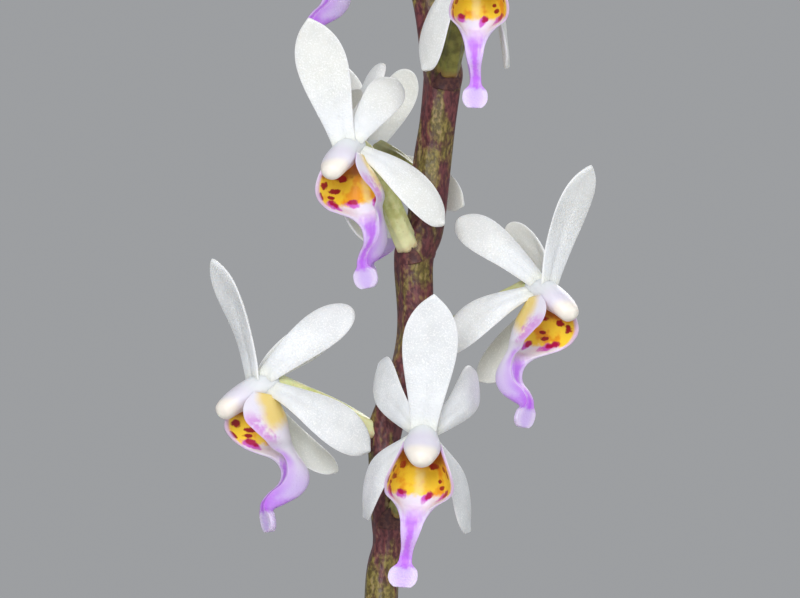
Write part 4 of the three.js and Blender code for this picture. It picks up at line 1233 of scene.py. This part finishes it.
def spun(profile, sides, wobble=1.0):
    """A profile of radii and heights spun round the pot's axis."""
    angle = circle_angles(sides)
    radius, height = profile[:, :1] * wobble, profile[:, 1:]
    return vectors(radius * np.cos(angle), radius * np.sin(angle), height)


def chip_shells(count, seed):
    """Chips on a sunflower spiral: each is a ball's grid pushed out by a sixth-power box norm,
    waved, scaled to a slab, turned by three random angles and set on the bed."""
    random = np.random.default_rng(seed)
    a = np.linspace(-np.pi / 2 + CHIP_GAP, np.pi / 2 - CHIP_GAP, CHIP_ROWS)[:, None]
    b = circle_angles(CHIP_SIDES)
    ball = vectors(np.cos(a) * np.cos(b), np.cos(a) * np.sin(b), np.sin(a))
    box = ball / (np.sum(np.abs(ball) ** 6, axis=-1, keepdims=True) ** (1 / 6))
    shells = []
    reach = pot_outside(BARK_TOP) - POT["wall"] - 5.2
    for i in range(count):
        size = random.uniform(5.0, 10.5)
        half = size * np.array([1, random.uniform(0.45, 0.75), random.uniform(0.2, 0.34)]) / 2
        wave = 1 + 0.14 * np.sin(box @ random.normal(0, 2.2, 3) + random.uniform(0, 6))[..., None]
        wave = wave + 0.05 * np.sin(box @ random.normal(0, 6, 3))[..., None]
        yaw, pitch, roll = random.uniform(0, 360), random.normal(0, 17), random.normal(0, 17)
        far, turn = reach * np.sqrt((i + 0.5) / count), i * GOLDEN_TURN
        x, y, z = far * np.cos(turn), far * np.sin(turn), BARK_TOP + random.uniform(-0.8, 1.5)
        z -= 1.6 * np.exp(-(((x - STEM["x"]) / 8) ** 2) - ((y - STEM["y"]) / 8) ** 2)
        points = (box * wave * half) @ turn_matrix(yaw, pitch, roll).T + (x, y, z)
        shells.append({"points": points, "tone": random.uniform(0, 1)})
    return shells


def bed_shell():
    """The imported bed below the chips: a short profile just inside the pot, spun round."""
    top = BARK_TOP - 0.9
    profile = [(0.3, 5.5), (24.9, 5.5), (32.2, BARK_TOP - 1.6), (31.5, top), (0.3, top)]
    return {"points": spun(np.array(profile), 96), "tone": 0.0}


def bark_finish():
    paint = Finish("bark_brown", IOR=1.4)
    grain = paint.noise(0.9, 5, paint.stretched(1, 1, 2.2), 0.65)
    color = paint.coats(
        paint.mix((0.09, 0.045, 0.022), (0.27, 0.15, 0.075), paint.named("tone", "Fac")),
        ((0.045, 0.022, 0.012), paint.step(grain, 0.55, 0.38) * 0.85),
        ((0.40, 0.27, 0.16), paint.step(grain, 0.62, 0.78) * 0.6),
    )
    return paint.finish(color, 0.85, grain, 0.5)


shells = [bed_shell()] + chip_shells(CHIP_COUNT, CHIP_SEED)
make_piece("bark_chips", shells, [bark_finish()], "bark", ["bark_medium"])
print("chips", CHIP_COUNT)

# %% [markdown]
# ## The pot
#
# A plain clay pot is turned on a wheel: a profile of the wall, spun round. The profile has a soft
# rim and rounded edges. The drain holes are cut through the floor with a boolean, as a drill would,
# and the cut is kept in the mesh.

# %% Pot
ARC_POINTS = 5
DRILL_SIDES = 32


def arc(centre, radius, start, end):
    """Points of a circular arc in the profile, by angle in degrees."""
    a = np.radians(np.linspace(start, end, ARC_POINTS))
    return np.array(centre) + radius * vectors(np.cos(a), np.sin(a))


def pot_shell(sides=144):
    """The closed wall profile, spun round the axis: outside up, over the rim, inside down."""
    height, rim, band = POT["height"], POT["rim"], POT["height"] - POT["rim_height"]
    inside = pot_outside(height) - POT["wall"]
    inner_floor = pot_outside(POT["floor"]) - POT["wall"]
    side = np.linspace(4, band - 1.2, 14)
    profile = np.concatenate([
        [(0.06, 0.0), (14, 0.0), (POT["base"] - 3, 0.0)],
        arc((POT["base"] - 1.0, 1.0), 1.0, -90, 0),
        vectors(pot_outside(side), side),
        [(pot_outside(band) + 0.4, band - 0.3)],
        arc((rim - 0.8, band + 0.8), 0.8, -90, 0),
        [(rim + 0.2, band + 4), (rim + 0.45, band + 9)],
        arc((rim - 0.5, height - 1.1), 1.1, 10, 90),
        arc((inside + 1.4, height - 1.2), 1.2, 90, 180),
        vectors(np.linspace(inside + 0.1, inner_floor + 0.8, 10), np.linspace(66, 8, 10)),
        arc((inner_floor - 2.0, POT["floor"] + 2.0), 2.0, 0, -90),
        [(14, POT["floor"]), (0.06, POT["floor"])],
    ])
    wobble = 1 + 0.0015 * np.sin(3 * circle_angles(sides) + profile[:, 1:] * 0.05)
    return {"points": spun(profile, sides, wobble), "wrap": True}


def drill(pot, radius=4.0, circle=15.0, count=3):
    """Cut upright holes through the pot's floor, evenly round a circle, and keep the cut mesh."""
    k = np.arange(DRILL_SIDES)
    beside = (k + 1) % DRILL_SIDES
    sides = np.stack([k, beside, DRILL_SIDES + beside, DRILL_SIDES + k], axis=1).tolist()
    ends = [k[::-1].tolist(), (k + DRILL_SIDES).tolist()]
    tools = []
    for i in range(count):
        turn, spin = 2 * np.pi * (i + 0.25) / count, circle_angles(DRILL_SIDES)
        x = circle * np.cos(turn) + radius * np.cos(spin)
        y = circle * np.sin(turn) + radius * np.sin(spin)
        points = vectors(x, y, np.array([[-3.0], [POT["floor"] + 0.3]])).reshape(-1, 3) * MM
        mesh = bpy.data.meshes.new("drill")
        mesh.from_pydata(points.tolist(), [], sides + ends)
        tools.append(add_object("drill", mesh))
        cut = pot.modifiers.new("drain_hole", "BOOLEAN")
        cut.operation, cut.solver, cut.object = "DIFFERENCE", "EXACT", tools[-1]
    ready = pot.evaluated_get(bpy.context.evaluated_depsgraph_get())
    whole, pot_mesh = pot.data, bpy.data.meshes.new_from_object(ready)
    pot.modifiers.clear()
    pot.data = pot_mesh
    bpy.data.meshes.remove(whole)
    for tool in tools:
        bpy.data.meshes.remove(tool.data)


def pot_finish():
    paint = Finish("terracotta", IOR=1.4)
    _, _, height = paint.parts(paint.place)
    clay, dust = paint.noise(3.0, 5, rough=0.6), paint.noise(14.0, 4, rough=0.6)
    grit = paint.noise(0.5, 3)
    rings = paint.noise(1.6, 2, paint.stretched(0.02, 0.02, 1))
    burnt = paint.step(clay + rings * 0.4, 0.5, 0.9)
    damp = paint.step(height + dust * 0.012, 0.016, 0.004)
    color = paint.coats(
        paint.mix((0.42, 0.155, 0.07), (0.56, 0.235, 0.12), burnt),
        ((0.66, 0.46, 0.36), paint.step(dust, 0.52, 0.72) * 0.45),
        ((0.60, 0.50, 0.42), damp * 0.4),
        ((0.30, 0.11, 0.05), paint.step(grit, 0.68, 0.78) * 0.4),
    )
    return paint.finish(color, paint.step(dust, 0.3, 0.7, 0.72, 0.9), rings * 2 + grit * 0.8, 0.12)


clay_pot = make_piece("clay_pot", [pot_shell()], [pot_finish()], "pot", ["pot"])
before = len(clay_pot.data.polygons)
drill(clay_pot)
print("pot faces", before, "and with drain holes", len(clay_pot.data.polygons))

# %% [markdown]
# ## Floor and light
#
# A pale floor and big soft lights keep the whites apart without hard shadows: a key from the upper
# left near the camera, a weaker fill from the right and a rim light from behind.

# %% Stage
FLOOR_REACH = 2.2  # m
LIGHT_AIM = (0, 0, 0.15)
LIGHTS = [  # name, place and size in m, power in W
    ("key", (-0.14, -0.85, 0.46), 0.3, 5.6),
    ("fill", (0.75, -0.45, 0.5), 0.6, 1.6),
    ("back_rim", (0.3, 0.8, 0.6), 0.5, 3),
]
SKY_COLOR, SKY_STRENGTH = (0.80, 0.82, 0.85, 1), 0.42


def stage_floor(reach):
    """A square floor, which isn't part of the plant."""
    mesh = bpy.data.meshes.new("pale_floor")
    corners = [(-reach, -reach, 0), (reach, -reach, 0), (reach, reach, 0), (-reach, reach, 0)]
    mesh.from_pydata(corners, [], [(0, 1, 2, 3)])
    mesh.materials.append(Finish("floor_pale", Roughness=0.8).finish((0.70, 0.70, 0.70)))
    floor = add_object("pale_floor", mesh)
    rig.stage(floor)


def area_light(name, place, aim, size, power):
    """A soft square light at a place, turned to look at the aim."""
    data = bpy.data.lights.new(name, "AREA")
    data.size, data.energy = size, power
    light = add_object(name, data)
    light.location = place
    back = unit(np.array(place) - np.array(aim))
    light.rotation_euler = (np.arccos(back[2]), 0, np.arctan2(back[0], -back[1]))


stage_floor(FLOOR_REACH)
for name, place, size, power in LIGHTS:
    area_light(name, place, LIGHT_AIM, size, power)
world = bpy.data.worlds.new("soft_studio")
world.use_nodes = True
sky = world.node_tree.nodes["Background"]
sky.inputs["Color"].default_value, sky.inputs["Strength"].default_value = SKY_COLOR, SKY_STRENGTH
bpy.context.scene.world = world
bpy.context.scene.view_settings.view_transform = "Standard"

# %% Measure and finish
with open("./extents.json", "w") as out:
    boxes = {"cad": cad_box, "visual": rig.bounds()}
    json.dump({key: np.array(box).tolist() for key, box in boxes.items()}, out)
pieces = [o for o in bpy.data.objects if o.type == "MESH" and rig.alive(o)]
triangles = sum(len(o.data.polygons) * 2 for o in pieces)
print("about", triangles, "triangles in all")
